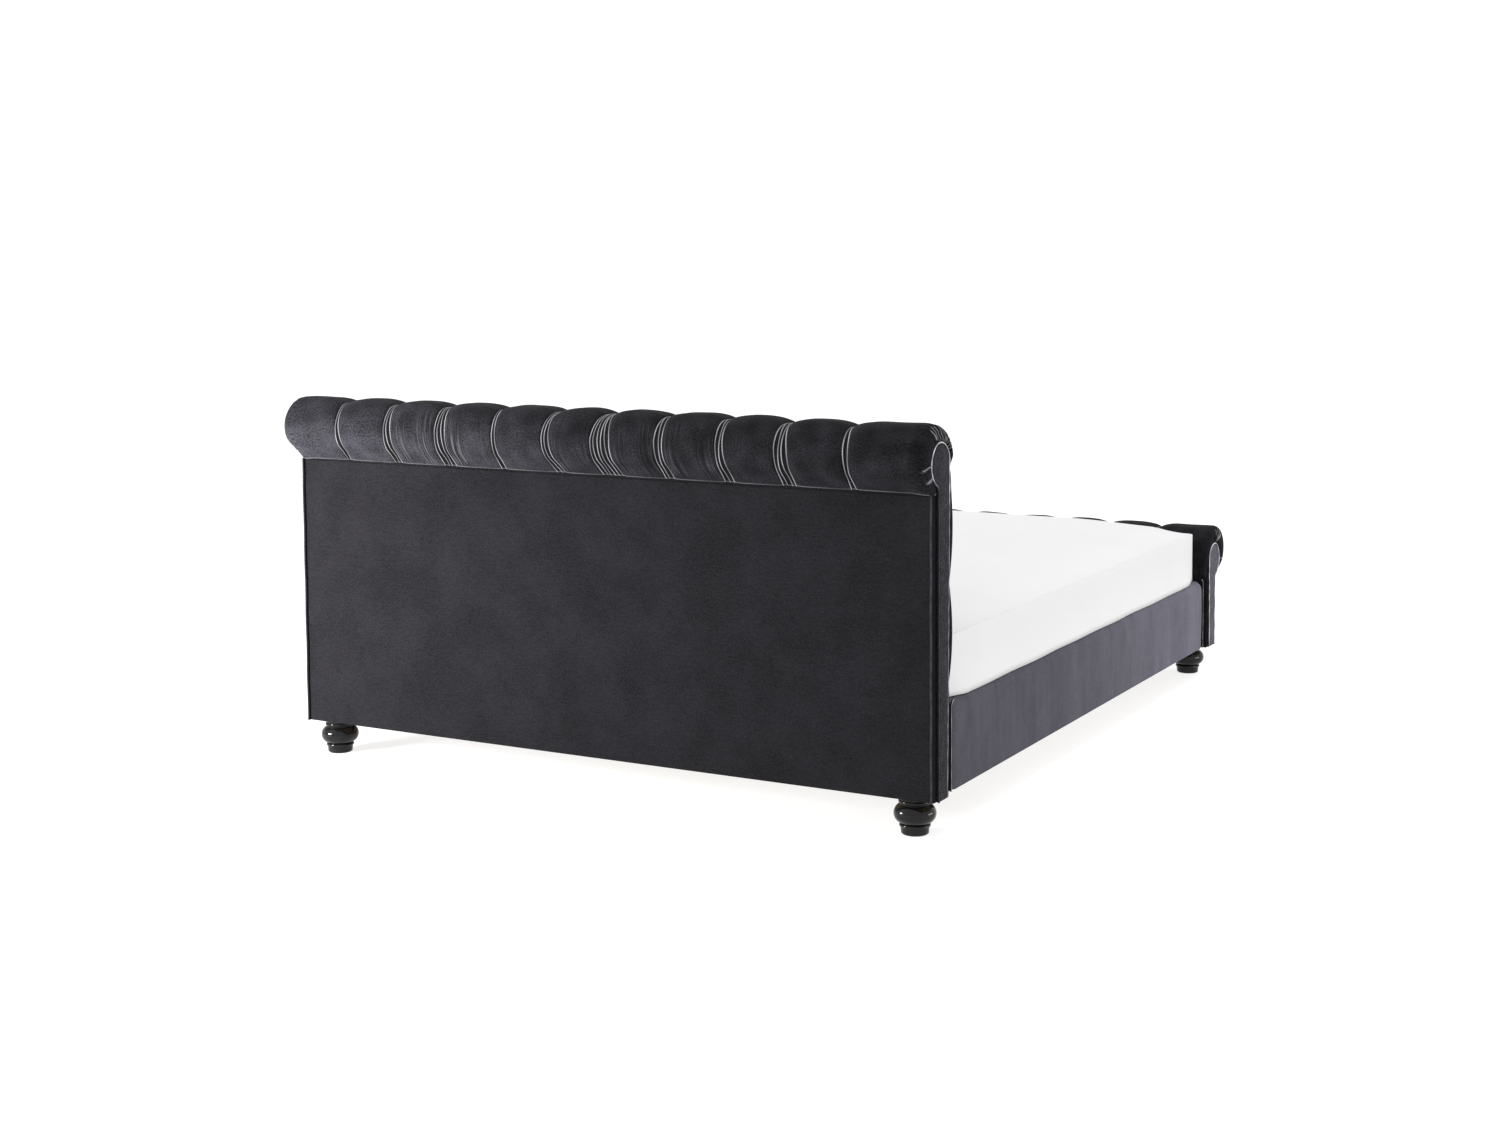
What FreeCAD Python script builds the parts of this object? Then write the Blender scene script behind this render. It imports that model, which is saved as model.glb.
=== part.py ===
import FreeCAD, Part

import math
import os
import re

import Sketcher
from FreeCAD import Rotation, Vector

# Upholstered sleigh bed, millimetres. +Z is up and the floor is z = 0. The origin is under the middle
# of the bed. +Y runs from the foot end to the head end, and +X is the right side seen from the foot.

SLATS_PER_SIDE = 14
INNER_RIBS = 4
CENTRE_LEGS = 2
CREASES = 10  # pleats across a board, each ending in a button

# Driving dimensions. Each one is a cell of the spreadsheet and is written here once.
DIMENSIONS = {
    # the whole bed
    "headboard_height": 1001,
    "footboard_height": 475,
    "foot_height": 92,
    # mattress
    "mattress_width": 1800,
    "mattress_length": 2000,
    "mattress_thickness": 230,
    "mattress_corner_radius": 60,
    "mattress_edge_radius": 35,
    "mattress_end_gap": 5,
    "mattress_side_gap": 8,
    "mattress_sink": 70,
    # layers of a board, from its outer face to the mattress
    "panel_thickness": 18,
    "frame_depth": 54,
    "facing_thickness": 3,
    "foam_thickness": 33,
    # the roll along the top of a board
    "roll_height": 171,
    "headboard_rear_foam": 42.5,
    "footboard_rear_foam": 57,
    "headboard_swell": 10,
    "footboard_swell": 0,
    "roll_foam_thickness": 42,
    "roll_neck_gap": 13,
    "roll_tuck_rise": 21,
    "roll_seam_lap": 5.5,
    # framing of a board
    "rib_thickness": 18,
    "post_width": 90,
    "top_rail_height": 50,
    "bottom_rail_height": 70,
    "bottom_rail_lift": 8,
    "middle_rail_height": 70,
    # buttons and their wells
    "end_puff_width": 194.5,
    "button_seam_rise": 24,
    "button_row_pitch": 122,
    "button_radius": 13,
    "button_rise": 8,
    "well_radius": 15,
    "well_depth": 28,
    # scroll end panels and welts
    "end_panel_thickness": 10,
    "end_panel_rear": 19,
    "end_panel_taper": 1.03,
    "end_panel_head_drop": 3,
    "end_panel_head_inset": 5,
    "end_panel_head_shift": 8.5,
    "end_panel_neck_radius": 26,
    "end_welt_radius": 3,
    "panel_welt_radius": 3.5,
    "rail_welt_radius": 2.5,
    # side rails
    "rail_height": 225,
    "rail_lift": 3,
    "rail_edge_radius": 12,
    "rail_board_thickness": 25,
    "rail_outer_foam": 18,
    "rail_inner_cover": 4,
    "rail_top_foam": 7,
    # slat base
    "slat_thickness": 8,
    "slat_width": 53,
    "slat_end_margin": 90,
    "slat_centre_gap": 10,
    "socket_length": 30,
    "socket_floor": 4,
    "socket_wall": 3,
    "ledge_width": 25,
    "ledge_height": 40,
    "ledge_end_gap": 75,
    "beam_width": 60,
    "beam_height": 50,
    "hanger_thickness": 3,
    "hanger_reach": 60,
    "hanger_back_rise": 12,
    "block_cover": 10,
    "leg_radius": 20,
    "glide_radius": 24,
    "glide_height": 8,
    # corner brackets
    "bracket_thickness": 3,
    "bracket_leg": 60,
    "bracket_lift": 15,
    "bracket_post_gap": 17,
    "bracket_slat_gap": 5,
    "block_width": 70,
    "bolt_radius": 4,
    "bolt_head_radius": 8,
    "bolt_head_height": 5,
    "bolt_end_wall": 9,
    "bolt_clearance": 0.5,
    "bolt_edge": 40,
    # turned feet
    "foot_inset_across": 69.5,
    "foot_inset_along": 50,
    "foot_base_radius": 34,
    "foot_base_height": 16,
    "foot_base_chamfer": 3,
    "foot_ring_radius": 38.5,
    "foot_ring_height": 9,
    "foot_ball_radius": 52,
    "foot_collar_radius": 40.5,
    "foot_collar_height": 10,
    "foot_stub_height": 7,
    "foot_groove_height": 1.5,
    "foot_bead_depth": 3.5,
    "foot_ball_depth": 15,
    "foot_screw_radius": 4,
    "foot_screw_bite": 40,
    # how far a cutting tool runs past the face that it starts from
    "overrun": 1,
}

# Relations between the driving dimensions, written once and used by name.
RELATIONS = {
    "rail_thickness": "rail_outer_foam + rail_board_thickness + rail_inner_cover",
    "bed_width": "mattress_width + 2 * mattress_side_gap + 2 * rail_thickness",
    "half_width": "bed_width / 2",
    "board_thickness": "panel_thickness + frame_depth + facing_thickness + foam_thickness",
    "clear_length": "mattress_length + 2 * mattress_end_gap",
    "half_span": "clear_length / 2 + board_thickness",
    "middle": "(footboard_rear_foam - headboard_rear_foam) / 2",
    "frame_front": "panel_thickness + frame_depth",
    "facing_front": "frame_front + facing_thickness",
    "skin_radius": "(roll_height - roll_foam_thickness - roll_neck_gap) / 2",
    "rib_head_radius": "skin_radius - facing_thickness",
    "head_y": "frame_front - rib_head_radius",
    "roll_front_radius": "skin_radius + roll_foam_thickness",
    "roll_rear_radius": "(roll_height - roll_tuck_rise) / 2",
    "bolt_bite": "frame_depth - bolt_end_wall",
    "pleat_pitch": f"(bed_width - 2 * end_puff_width) / {CREASES - 1}",
    "post_inside": "half_width - rib_thickness - post_width",
    "rail_bottom": "foot_height + rail_lift",
    "rail_top": "rail_bottom + rail_height",
    "rail_inside": "half_width - rail_thickness",
    "rail_half_length": "clear_length / 2 - 2 * rail_welt_radius",
    "slat_top": "rail_top - mattress_sink",
    "slat_bottom": "slat_top - slat_thickness",
    "ledge_top": "slat_bottom - socket_floor",
    "bracket_bottom": "foot_height + bracket_lift",
    "foot_post_top": "footboard_height - roll_height - top_rail_height",
    "bracket_top": "min(foot_post_top - bracket_post_gap, slat_bottom - bracket_slat_gap)",
    "bracket_height": "bracket_top - bracket_bottom",
    "bolt_x": "rail_inside - bolt_edge",
    "foot_x": "half_width - foot_inset_across",
}

# heights of the two bolts in a corner bracket, a quarter of its height from each end
BOLT_LEVELS = ("bracket_bottom + bracket_height / 4", "bracket_top - bracket_height / 4")

ALIASES = set(DIMENSIONS)
WORD = r"[a-z][a-z_]*"

doc = FreeCAD.newDocument("SleighBed")
sizes = doc.addObject("Spreadsheet::Sheet", "Sizes")
for row, (alias, size) in enumerate(DIMENSIONS.items(), start=1):
    sizes.set(f"A{row}", alias)
    sizes.set(f"B{row}", str(size))
    sizes.setAlias(f"B{row}", alias)
doc.recompute()

nodes = []  # the objects that are written out, one per sub-part


# ---------------------------------------------------------------- expressions

def spelled_out(text):
    """The expression with every relation replaced by its driving dimensions."""
    text = str(text)
    while True:
        wider = re.sub(WORD, lambda word: f"({RELATIONS[word[0]]})" if word[0] in RELATIONS else word[0], text)
        if wider == text:
            return text
        text = wider


def formula(text):
    """The expression as another object has to write it, with the sheet's name before each alias."""
    plain = spelled_out(text)
    return re.sub(WORD, lambda word: f"Sizes.{word[0]}" if word[0] in ALIASES else word[0], plain)


def value(text):
    """What the expression comes to with the present dimensions."""
    return float(sizes.evalExpression(spelled_out(text)))


def bind(item, **expressions):
    for name, text in expressions.items():
        item.setExpression(name, formula(text))


def bind_place(item, x="0", y="0", z="0", rotation=Rotation()):
    """Places an object; y counts from the middle of the mattress."""
    item.Placement = FreeCAD.Placement(Vector(), rotation)
    for axis, text in zip("xyz", (x, f"({y}) + middle", z)):
        item.setExpression(f"Placement.Base.{axis}", formula(text))


def node(item, label):
    """Marks an object as a sub-part and gives it its name."""
    item.Label = label
    nodes.append(item)
    return item


# ---------------------------------------------------------------- shapes

def box(name, x, y, z):
    """A block between two expressions along each axis."""
    block = doc.addObject("Part::Box", name)
    bind(block, Length=f"({x[1]}) - ({x[0]})", Width=f"({y[1]}) - ({y[0]})", Height=f"({z[1]}) - ({z[0]})")
    bind_place(block, x[0], y[0], z[0])
    return block


def rod(name, radius, length, x, y, z, rotation=Rotation()):
    """A cylinder that starts at a point and runs along the turned Z axis."""
    cylinder = doc.addObject("Part::Cylinder", name)
    bind(cylinder, Radius=radius, Height=length)
    bind_place(cylinder, x, y, z, rotation)
    return cylinder


def group(name, members):
    """Several separate solids in one object."""
    compound = doc.addObject("Part::Compound", name)
    compound.Links = members
    return compound


def cut(name, base, tool):
    result = doc.addObject("Part::Cut", name)
    result.Base, result.Tool = base, tool
    return result


def fuse(name, members):
    result = doc.addObject("Part::MultiFuse", name)
    result.Shapes = members
    return result


def body(name):
    return doc.addObject("PartDesign::Body", name)


def sketch_on(part, name, role):
    """An empty sketch on one of the body's own origin planes."""
    sketch = part.newObject("Sketcher::SketchObject", name)
    plane = next(item for item in part.Origin.OriginFeatures if item.Role == role)
    sketch.AttachmentSupport = [(plane, "")]
    sketch.MapMode = "FlatFace"
    return sketch


def pin(sketch, index, point, across, up):
    """Holds a point of the sketch at two expressions from its origin."""
    for kind, text, axis in (("DistanceX", across, -2), ("DistanceY", up, -1)):
        distance = value(text)
        if abs(distance) < 1e-9:
            sketch.addConstraint(Sketcher.Constraint("PointOnObject", index, point, axis))
            continue
        if distance < 0:
            constraint = Sketcher.Constraint(kind, index, point, -1, 1, -distance)
            text = f"-({text})"
        else:
            constraint = Sketcher.Constraint(kind, -1, 1, index, point, distance)
        number = sketch.addConstraint(constraint)
        sketch.setExpression(f"Constraints[{number}]", formula(text))


def draw(sketch, start, moves, closed=True):
    """Draws an outline. A move is (across, up) for a line, or (across, up, centre, radius, turn) for an arc.

    turn is +1 when the arc runs anticlockwise and -1 when it runs clockwise.
    """
    here = start
    first = None
    for move in moves:
        a, b = Vector(value(here[0]), value(here[1])), Vector(value(move[0]), value(move[1]))
        if len(move) == 2:
            index = sketch.addGeometry(Part.LineSegment(a, b))
            head, tail = 1, 2
        else:
            centre = Vector(value(move[2][0]), value(move[2][1]))
            turn = move[4]
            first_angle = math.atan2(a.y - centre.y, a.x - centre.x)
            last_angle = math.atan2(b.y - centre.y, b.x - centre.x)
            if turn < 0:
                first_angle, last_angle = last_angle, first_angle
            circle = Part.Circle(centre, Vector(0, 0, 1), value(move[3]))
            last_angle += 2 * math.pi if last_angle < first_angle else 0
            index = sketch.addGeometry(Part.ArcOfCircle(circle, first_angle, last_angle))
            head, tail = (1, 2) if turn > 0 else (2, 1)
            number = sketch.addConstraint(Sketcher.Constraint("Radius", index, value(move[3])))
            sketch.setExpression(f"Constraints[{number}]", formula(move[3]))
        if first is None:
            first = (index, head)
            if not closed:
                pin(sketch, index, head, *here)
        else:
            sketch.addConstraint(Sketcher.Constraint("Coincident", last[0], last[1], index, head))
        pin(sketch, index, tail, move[0], move[1])
        last = (index, tail)
        here = move
    if closed:
        sketch.addConstraint(Sketcher.Constraint("Coincident", last[0], last[1], first[0], first[1]))


def extrusion(name, start, moves, length, role="YZ_Plane", middle=True):
    """A body padded from one outline, equally to both sides when middle is set."""
    part = body(name)
    sketch = sketch_on(part, name + "_outline", role)
    draw(sketch, start, moves)
    pad = part.newObject("PartDesign::Pad", name + "_pad")
    pad.Profile = sketch
    if middle:
        pad.SideType = "Symmetric"
    bind(pad, Length=length)
    part.Tip = pad
    return part


# ---------------------------------------------------------------- places on a board

class Board:
    """A headboard or footboard: its own y runs from its outer face towards the mattress."""

    def __init__(self, name, way, button_rows):
        self.name, self.way, self.button_rows = name, way, button_rows
        self.swell = f"{name}_swell"
        self.height = f"{name}_height"
        self.turn = Rotation() if way > 0 else Rotation(Vector(0, 0, 1), 180)
        self.seam = f"({self.height} - roll_height)"
        self.head_z = f"({self.height} - roll_front_radius)"
        self.roll_front = f"(board_thickness + {self.swell})"
        self.front_y = f"({self.roll_front} - roll_front_radius)"
        # the foam on the head's rear side sets how far the roll overhangs the outer face
        self.rear_y = f"(facing_front + roll_rear_radius - 2 * skin_radius - {name}_rear_foam)"

    def place(self, item, x="0", y="0", z="0", rotation=Rotation()):
        sign = "" if self.way > 0 else "-1 * "
        bind_place(item, f"{sign}({x})", f"{sign}(({y}) - half_span)", z, self.turn * rotation)
        return item

    def block(self, name, x, y, z):
        block = box(f"{self.name}_{name}", ("0", f"({x[1]}) - ({x[0]})"), ("0", f"({y[1]}) - ({y[0]})"),
                    ("0", f"({z[1]}) - ({z[0]})"))
        return self.place(block, x[0], y[0], z[0])

    def side_name(self, side):
        return "right" if side * self.way > 0 else "left"

    def node(self, item, label):
        return node(item, f"{self.name}_{label}")


def across(side, near, far):
    """The low and high x of a piece that lies between two distances from the middle, on one side."""
    return (near, far) if side > 0 else (f"-({far})", f"-({near})")


def arc_foot(radius, reach):
    """How far below its centre a circle meets the upright line that is reach behind the centre."""
    return f"sqrt(({radius})^2 - ({reach})^2)"


# ---------------------------------------------------------------- a board's frame

def build_frame(board):
    frame_y = ("panel_thickness", "frame_front")
    rail_x = ("-half_width + rib_thickness", "half_width - rib_thickness")
    between_posts = ("-(post_inside)", "post_inside")
    post_top = f"{board.seam} - top_rail_height"

    for side in (-1, 1):
        x = across(side, "post_inside", "half_width - rib_thickness")
        blank = board.block(f"post_blank_{side_tag(side)}", x, frame_y, ("foot_height", post_top))
        holes = [bolt_hole(board, side, level, "bolt_radius", "facing_front",
                           "-bolt_bite - facing_thickness") for level in BOLT_LEVELS]
        holes.append(foot_hole(board, side))
        bored = group(f"{board.name}_post_holes_{side_tag(side)}", holes)
        post = cut(f"{board.name}_post_{side_tag(side)}", blank, bored)
        board.node(post, f"post_{board.side_name(side)}")

    bottom = ("foot_height + bottom_rail_lift", "foot_height + bottom_rail_lift + bottom_rail_height")
    board.node(board.block("lower_rail", between_posts, frame_y, bottom), "bottom_rail")
    board.node(board.block("upper_rail", rail_x, frame_y, (post_top, board.seam)), "top_rail")
    if board.name == "headboard":
        centre = f"(foot_height + {post_top}) / 2"
        level = (f"{centre} - middle_rail_height / 2", f"{centre} + middle_rail_height / 2")
        board.node(board.block("mid_rail", between_posts, frame_y, level), "middle_rail")


def side_tag(side):
    return "a" if side < 0 else "b"


def rib_outline(board, bottom):
    """A rib: an upright with a round head that leans out over the outer face."""
    drop = arc_foot("rib_head_radius", "panel_thickness - head_y")
    start = ("panel_thickness", bottom)
    return start, [
        ("frame_front", bottom),
        ("frame_front", board.head_z),
        ("panel_thickness", f"{board.head_z} - {drop}", ("head_y", board.head_z), "rib_head_radius", 1),
        start,
    ]


def build_ribs(board):
    end = extrusion(f"{board.name}_end_rib", *rib_outline(board, "foot_height"), "rib_thickness")
    inner = extrusion(f"{board.name}_inner_rib", *rib_outline(board, board.seam), "rib_thickness")
    spread = [f"bed_width * {(number + 1) / (INNER_RIBS + 1) - 0.5}" for number in range(INNER_RIBS)]
    sets = (
        (end, "end_ribs", ["-half_width + rib_thickness / 2", "half_width - rib_thickness / 2"]),
        (inner, "inner_ribs", spread),
    )
    for rib, label, centres in sets:
        members = []
        for number, centre in enumerate(centres):
            copy = group(f"{board.name}_{label}_{number + 1}", [rib])
            members.append(board.place(copy, centre))
        board.node(group(f"{board.name}_{label}", members), label)


def build_facing(board):
    """One sheet of bending plywood: up the front of the frame and round the heads of the ribs."""
    inner = arc_foot("rib_head_radius", "panel_thickness - head_y")
    outer = arc_foot("skin_radius", "panel_thickness - head_y")
    centre = ("head_y", board.head_z)
    start = ("frame_front", "foot_height")
    moves = [
        ("facing_front", "foot_height"),
        ("facing_front", board.head_z),
        ("panel_thickness", f"{board.head_z} - {outer}", centre, "skin_radius", 1),
        ("panel_thickness", f"{board.head_z} - {inner}"),
        ("frame_front", board.head_z, centre, "rib_head_radius", -1),
        start,
    ]
    sheet = extrusion(f"{board.name}_facing_sheet", start, moves, "bed_width")
    board.place(sheet)
    holes = [bolt_hole(board, side, level, "bolt_radius + bolt_clearance", "facing_front + overrun",
                       "-facing_thickness - 2 * overrun") for side in (-1, 1) for level in BOLT_LEVELS]
    drilled = cut(f"{board.name}_facing", sheet, group(f"{board.name}_facing_holes", holes))
    board.node(drilled, "curved_facing")


# ---------------------------------------------------------------- a board's upholstery

def button_rows(board):
    """(height, x places) of each row of buttons; every other row is shifted by half a pitch."""
    halves = [number - (CREASES - 1) / 2 for number in range(CREASES)]
    wholes = [number - CREASES / 2 for number in range(CREASES + 1)]
    return [(f"{board.seam} + button_seam_rise - {row} * button_row_pitch", wholes if row % 2 else halves)
            for row in range(board.button_rows)]


def front_at(board, level):
    """y of the padded front at a height: it leans out a little between the seam and the roll."""
    rise = f"(({level}) - {board.seam}) / ({board.head_z} - {board.seam})"
    return f"board_thickness + max(0, {rise}) * {board.swell}"


def tangent_point(start, centre, radius):
    """Where the line that leaves a point up and outwards touches a circle."""
    run = f"({centre[0]} - ({start[0]}))"
    rise = f"({centre[1]} - ({start[1]}))"
    reach = f"sqrt({run}^2 + {rise}^2)"
    length = f"sqrt({run}^2 + {rise}^2 - {radius}^2)"
    angle = f"(atan2({rise}, {run}) + asin({radius} / {reach}))"
    return f"{start[0]} + {length} * cos({angle})", f"{start[1]} + {length} * sin({angle})"


def build_padding(board):
    wells = {True: [], False: []}
    domes = []
    toward_bed = Rotation(Vector(1, 0, 0), -90)
    for row, (level, places) in enumerate(button_rows(board)):
        in_roll = value(level) > value(board.seam)
        surface = front_at(board, level)
        for number, place in enumerate(places):
            x = f"{place} * pleat_pitch"
            floor = f"{surface} - well_depth"
            tag = f"{row + 1}_{number + 1}"
            depth = f"well_depth + {board.swell} + 2 * overrun"
            well = rod(f"{board.name}_well_{tag}", "well_radius", depth, "0", "0", "0")
            wells[in_roll].append(board.place(well, x, floor, level, toward_bed))
            domes.append(button(board, tag, x, floor, level, toward_bed))

    drop = arc_foot("skin_radius", "panel_thickness - head_y")
    rear_centre = (board.rear_y, f"({board.height} - roll_rear_radius)")
    tuck = tangent_point(("-roll_seam_lap", board.seam), rear_centre, "roll_rear_radius")
    start = ("facing_front", board.seam)
    moves = [
        ("board_thickness", board.seam),
        (board.roll_front, board.head_z),
        (board.front_y, board.height, (board.front_y, board.head_z), "roll_front_radius", 1),
        (board.rear_y, board.height),
        (*tuck, rear_centre, "roll_rear_radius", 1),
        ("-roll_seam_lap", board.seam),
        ("panel_thickness", board.seam),
        ("panel_thickness", f"{board.head_z} - {drop}"),
        ("facing_front", board.head_z, ("head_y", board.head_z), "skin_radius", -1),
        start,
    ]
    roll = board.place(extrusion(f"{board.name}_roll_foam", start, moves, "bed_width"))
    roll_wells = group(f"{board.name}_roll_wells", wells[True])
    board.node(cut(f"{board.name}_roll", roll, roll_wells), "roll_padding")

    slab = board.block("front_foam", ("-half_width", "half_width"), ("facing_front", "board_thickness"),
                       ("foot_height", board.seam))
    notches = [board.block(f"notch_{number}", x, ("facing_front", "board_thickness + overrun"), z)
               for number, (x, z) in enumerate(packing_spaces(board))]
    hollows = group(f"{board.name}_front_hollows", notches + wells[False])
    board.node(cut(f"{board.name}_front", slab, hollows), "front_padding")
    board.node(group(f"{board.name}_button_set", domes), "buttons")


def button(board, tag, x, y, z, rotation):
    """A covered button: the cap of a sphere on the floor of its well."""
    sphere_radius = "(button_radius^2 + button_rise^2) / (2 * button_rise)"
    dome = doc.addObject("Part::Sphere", f"{board.name}_button_{tag}")
    bind(dome, Radius=sphere_radius, Angle1=f"asin(1 - button_rise / ({sphere_radius}))")
    return board.place(dome, x, f"{y} - ({sphere_radius}) + button_rise", z, rotation)


def build_outer_panel(board):
    panel = board.block("outer_board", ("-half_width", "half_width"), ("0", "panel_thickness"),
                        ("foot_height", board.seam))
    board.node(panel, "back_panel" if board.name == "headboard" else "outer_panel")
    welts = []
    for side in (-1, 1):
        x = f"{side} * (half_width - panel_welt_radius)"
        rise = f"{board.seam} - foot_height"
        welt = rod(f"{board.name}_edge_welt_{side_tag(side)}", "panel_welt_radius", rise, "0", "0", "0")
        welts.append(board.place(welt, x, "-panel_welt_radius", "foot_height"))
    board.node(group(f"{board.name}_edge_welts", welts), "panel_welts")


# ---------------------------------------------------------------- scroll end panels

def scroll(board, grow):
    """The outline of a scroll end panel, grown outwards, from its rear foot round to its front foot."""
    head_z = f"({board.head_z} - end_panel_head_drop)"
    radius = f"(rib_head_radius - end_panel_head_inset + {grow})"
    lean = "end_panel_taper"
    rear = f"(end_panel_rear - {grow})"
    neck = f"(end_panel_neck_radius - {grow})"
    middle = "(head_y + end_panel_head_shift)"
    centre = (middle, head_z)
    front_top = (f"{middle} + {radius} * cos({lean})", f"{head_z} - {radius} * sin({lean})")
    front_foot = (f"{front_top[0]} - tan({lean}) * ({front_top[1]} - foot_height) ", "foot_height")
    # the hollow of the neck touches the head's circle and the upright rear edge
    neck_y = "(end_panel_rear - end_panel_neck_radius)"
    reach = "(rib_head_radius - end_panel_head_inset + end_panel_neck_radius)"
    fall = f"sqrt({reach}^2 - ({middle} - {neck_y})^2)"
    neck_z = f"({head_z} - {fall})"
    touch = (f"{middle} + {radius} * ({neck_y} - {middle}) / {reach}",
             f"{head_z} - {radius} * {fall} / {reach}")
    return {
        "rear_foot": (rear, "foot_height"),
        "neck_low": (rear, neck_z),
        "neck_touch": (*touch, (neck_y, neck_z), neck, 1),
        "head": (*front_top, centre, radius, -1),
        "front_foot": front_foot,
    }


def build_end_panels(board):
    for side in (-1, 1):
        tag = side_tag(side)
        edge = scroll(board, "0")
        moves = [edge[place] for place in ("neck_low", "neck_touch", "head", "front_foot", "rear_foot")]
        plate = extrusion(f"{board.name}_scroll_{tag}", edge["rear_foot"], moves, "end_panel_thickness")
        board.place(plate, f"{side} * (half_width + end_panel_thickness / 2)")
        board.node(plate, f"end_panel_{board.side_name(side)}")
        build_end_welt(board, side)


def build_end_welt(board, side):
    """A round cord that follows the edge of the end panel from foot to foot."""
    path = scroll(board, "end_welt_radius")
    part = body(f"{board.name}_welt_{side_tag(side)}")

    def lowered(point):
        return (point[0], f"{point[1]} - foot_height", *point[2:])

    def lowered_arc(point):
        y, z, centre, radius, turn = point
        return (y, f"{z} - foot_height", (centre[0], f"{centre[1]} - foot_height"), radius, turn)

    spine = sketch_on(part, f"{board.name}_welt_line_{side_tag(side)}", "YZ_Plane")
    draw(spine, lowered(path["rear_foot"]), [lowered(path["neck_low"]), lowered_arc(path["neck_touch"]),
         lowered_arc(path["head"]), lowered(path["front_foot"])], closed=False)
    section = sketch_on(part, f"{board.name}_welt_round_{side_tag(side)}", "XY_Plane")
    circle = Part.Circle(Vector(0, value(path["rear_foot"][0]), 0), Vector(0, 0, 1), value("end_welt_radius"))
    index = section.addGeometry(circle)
    pin(section, index, 3, "0", path["rear_foot"][0])
    number = section.addConstraint(Sketcher.Constraint("Radius", index, value("end_welt_radius")))
    section.setExpression(f"Constraints[{number}]", formula("end_welt_radius"))
    sweep = part.newObject("PartDesign::AdditivePipe", f"{board.name}_welt_sweep_{side_tag(side)}")
    sweep.Profile = section
    sweep.Spine = spine
    part.Tip = sweep
    board.place(part, f"{side} * (half_width + end_welt_radius)", "0", "foot_height")
    board.node(part, f"end_welt_{board.side_name(side)}")


# ---------------------------------------------------------------- fittings behind the boards

def bolt_hole(board, side, level, radius, start, length):
    """A hole along y for a bolt; a negative length runs from the start towards the outer face."""
    hole = rod(f"{board.name}_hole", radius, f"-({length})", "0", "0", "0")
    return board.place(hole, f"{side} * (bolt_x)", start, level, Rotation(Vector(1, 0, 0), 90))


def foot_hole(board, side):
    hole = rod(f"{board.name}_foot_hole", "foot_screw_radius", "foot_screw_bite", "0", "0", "0")
    return board.place(hole, f"{side} * (foot_x)", "foot_inset_along", "foot_height")


def packing_spaces(board):
    """(x, z) of the three packing blocks behind the two corner brackets and the beam hanger."""
    corner_z = ("foot_height", "bracket_top + bracket_lift")
    centre_z = ("foot_height", f"min(ledge_top + hanger_back_rise, {board.seam} - block_cover)")
    spaces = [(across(side, "rail_inside - block_width", "rail_inside"), corner_z) for side in (-1, 1)]
    return spaces + [(("-block_width", "block_width"), centre_z)]


def build_packing(board):
    blocks = [board.block(f"packing_{number}", x, ("facing_front", "board_thickness"), z)
              for number, (x, z) in enumerate(packing_spaces(board))]
    holes = [bolt_hole(board, side, level, "bolt_radius + bolt_clearance", "board_thickness + overrun",
                       "-foam_thickness - 2 * overrun") for side in (-1, 1) for level in BOLT_LEVELS]
    drilled = cut(f"{board.name}_packing", group(f"{board.name}_packing_blanks", blocks),
                  group(f"{board.name}_packing_holes", holes))
    board.node(drilled, "packing_blocks")


def build_brackets(boards):
    """An angle bracket in each corner, flat on the rail's inner side and bolted through to the post."""
    brackets, bolts = [], []
    for board in boards:
        for side in (-1, 1):
            tag = f"{board.name}_{side_tag(side)}"
            z = ("bracket_bottom", "bracket_top")
            thin = across(side, "rail_inside - bracket_thickness", "rail_inside")
            wide = across(side, "rail_inside - bracket_leg", "rail_inside")
            long_leg = ("board_thickness", "board_thickness + bracket_leg")
            short_leg = ("board_thickness", "board_thickness + bracket_thickness")
            along = board.block(f"bracket_along_{tag}", thin, long_leg, z)
            cross = board.block(f"bracket_cross_{tag}", wide, short_leg, z)
            angle = fuse(f"angle_{tag}", [along, cross])
            start = "board_thickness + bracket_thickness + overrun"
            depth = "-bracket_thickness - 2 * overrun"
            holes = [bolt_hole(board, side, level, "bolt_radius + bolt_clearance", start, depth)
                     for level in BOLT_LEVELS]
            brackets.append(cut(f"bracket_{tag}", angle, group(f"bracket_holes_{tag}", holes)))
            bolts += [bolt(board, side, level, number) for number, level in enumerate(BOLT_LEVELS)]
    node(group("brackets", brackets), "corner_brackets")
    node(group("bolts", bolts), "bracket_bolts")


def bolt(board, side, level, number):
    """A pan-headed bolt that ends inside the post."""
    tag = f"{board.name}_{side_tag(side)}_{number}"
    seat = "board_thickness + bracket_thickness"
    inward = Rotation(Vector(1, 0, 0), 90)
    head = rod(f"bolt_head_{tag}", "bolt_head_radius", "bolt_head_height", "0", "0", "0")
    board.place(head, f"{side} * (bolt_x)", f"{seat} + bolt_head_height", level, inward)
    length = "bracket_thickness + foam_thickness + facing_thickness + bolt_bite"
    shank = rod(f"bolt_shank_{tag}", "bolt_radius", length, "0", "0", "0")
    board.place(shank, f"{side} * (bolt_x)", seat, level, inward)
    return fuse(f"bolt_{tag}", [head, shank])


# ---------------------------------------------------------------- side rails

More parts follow.
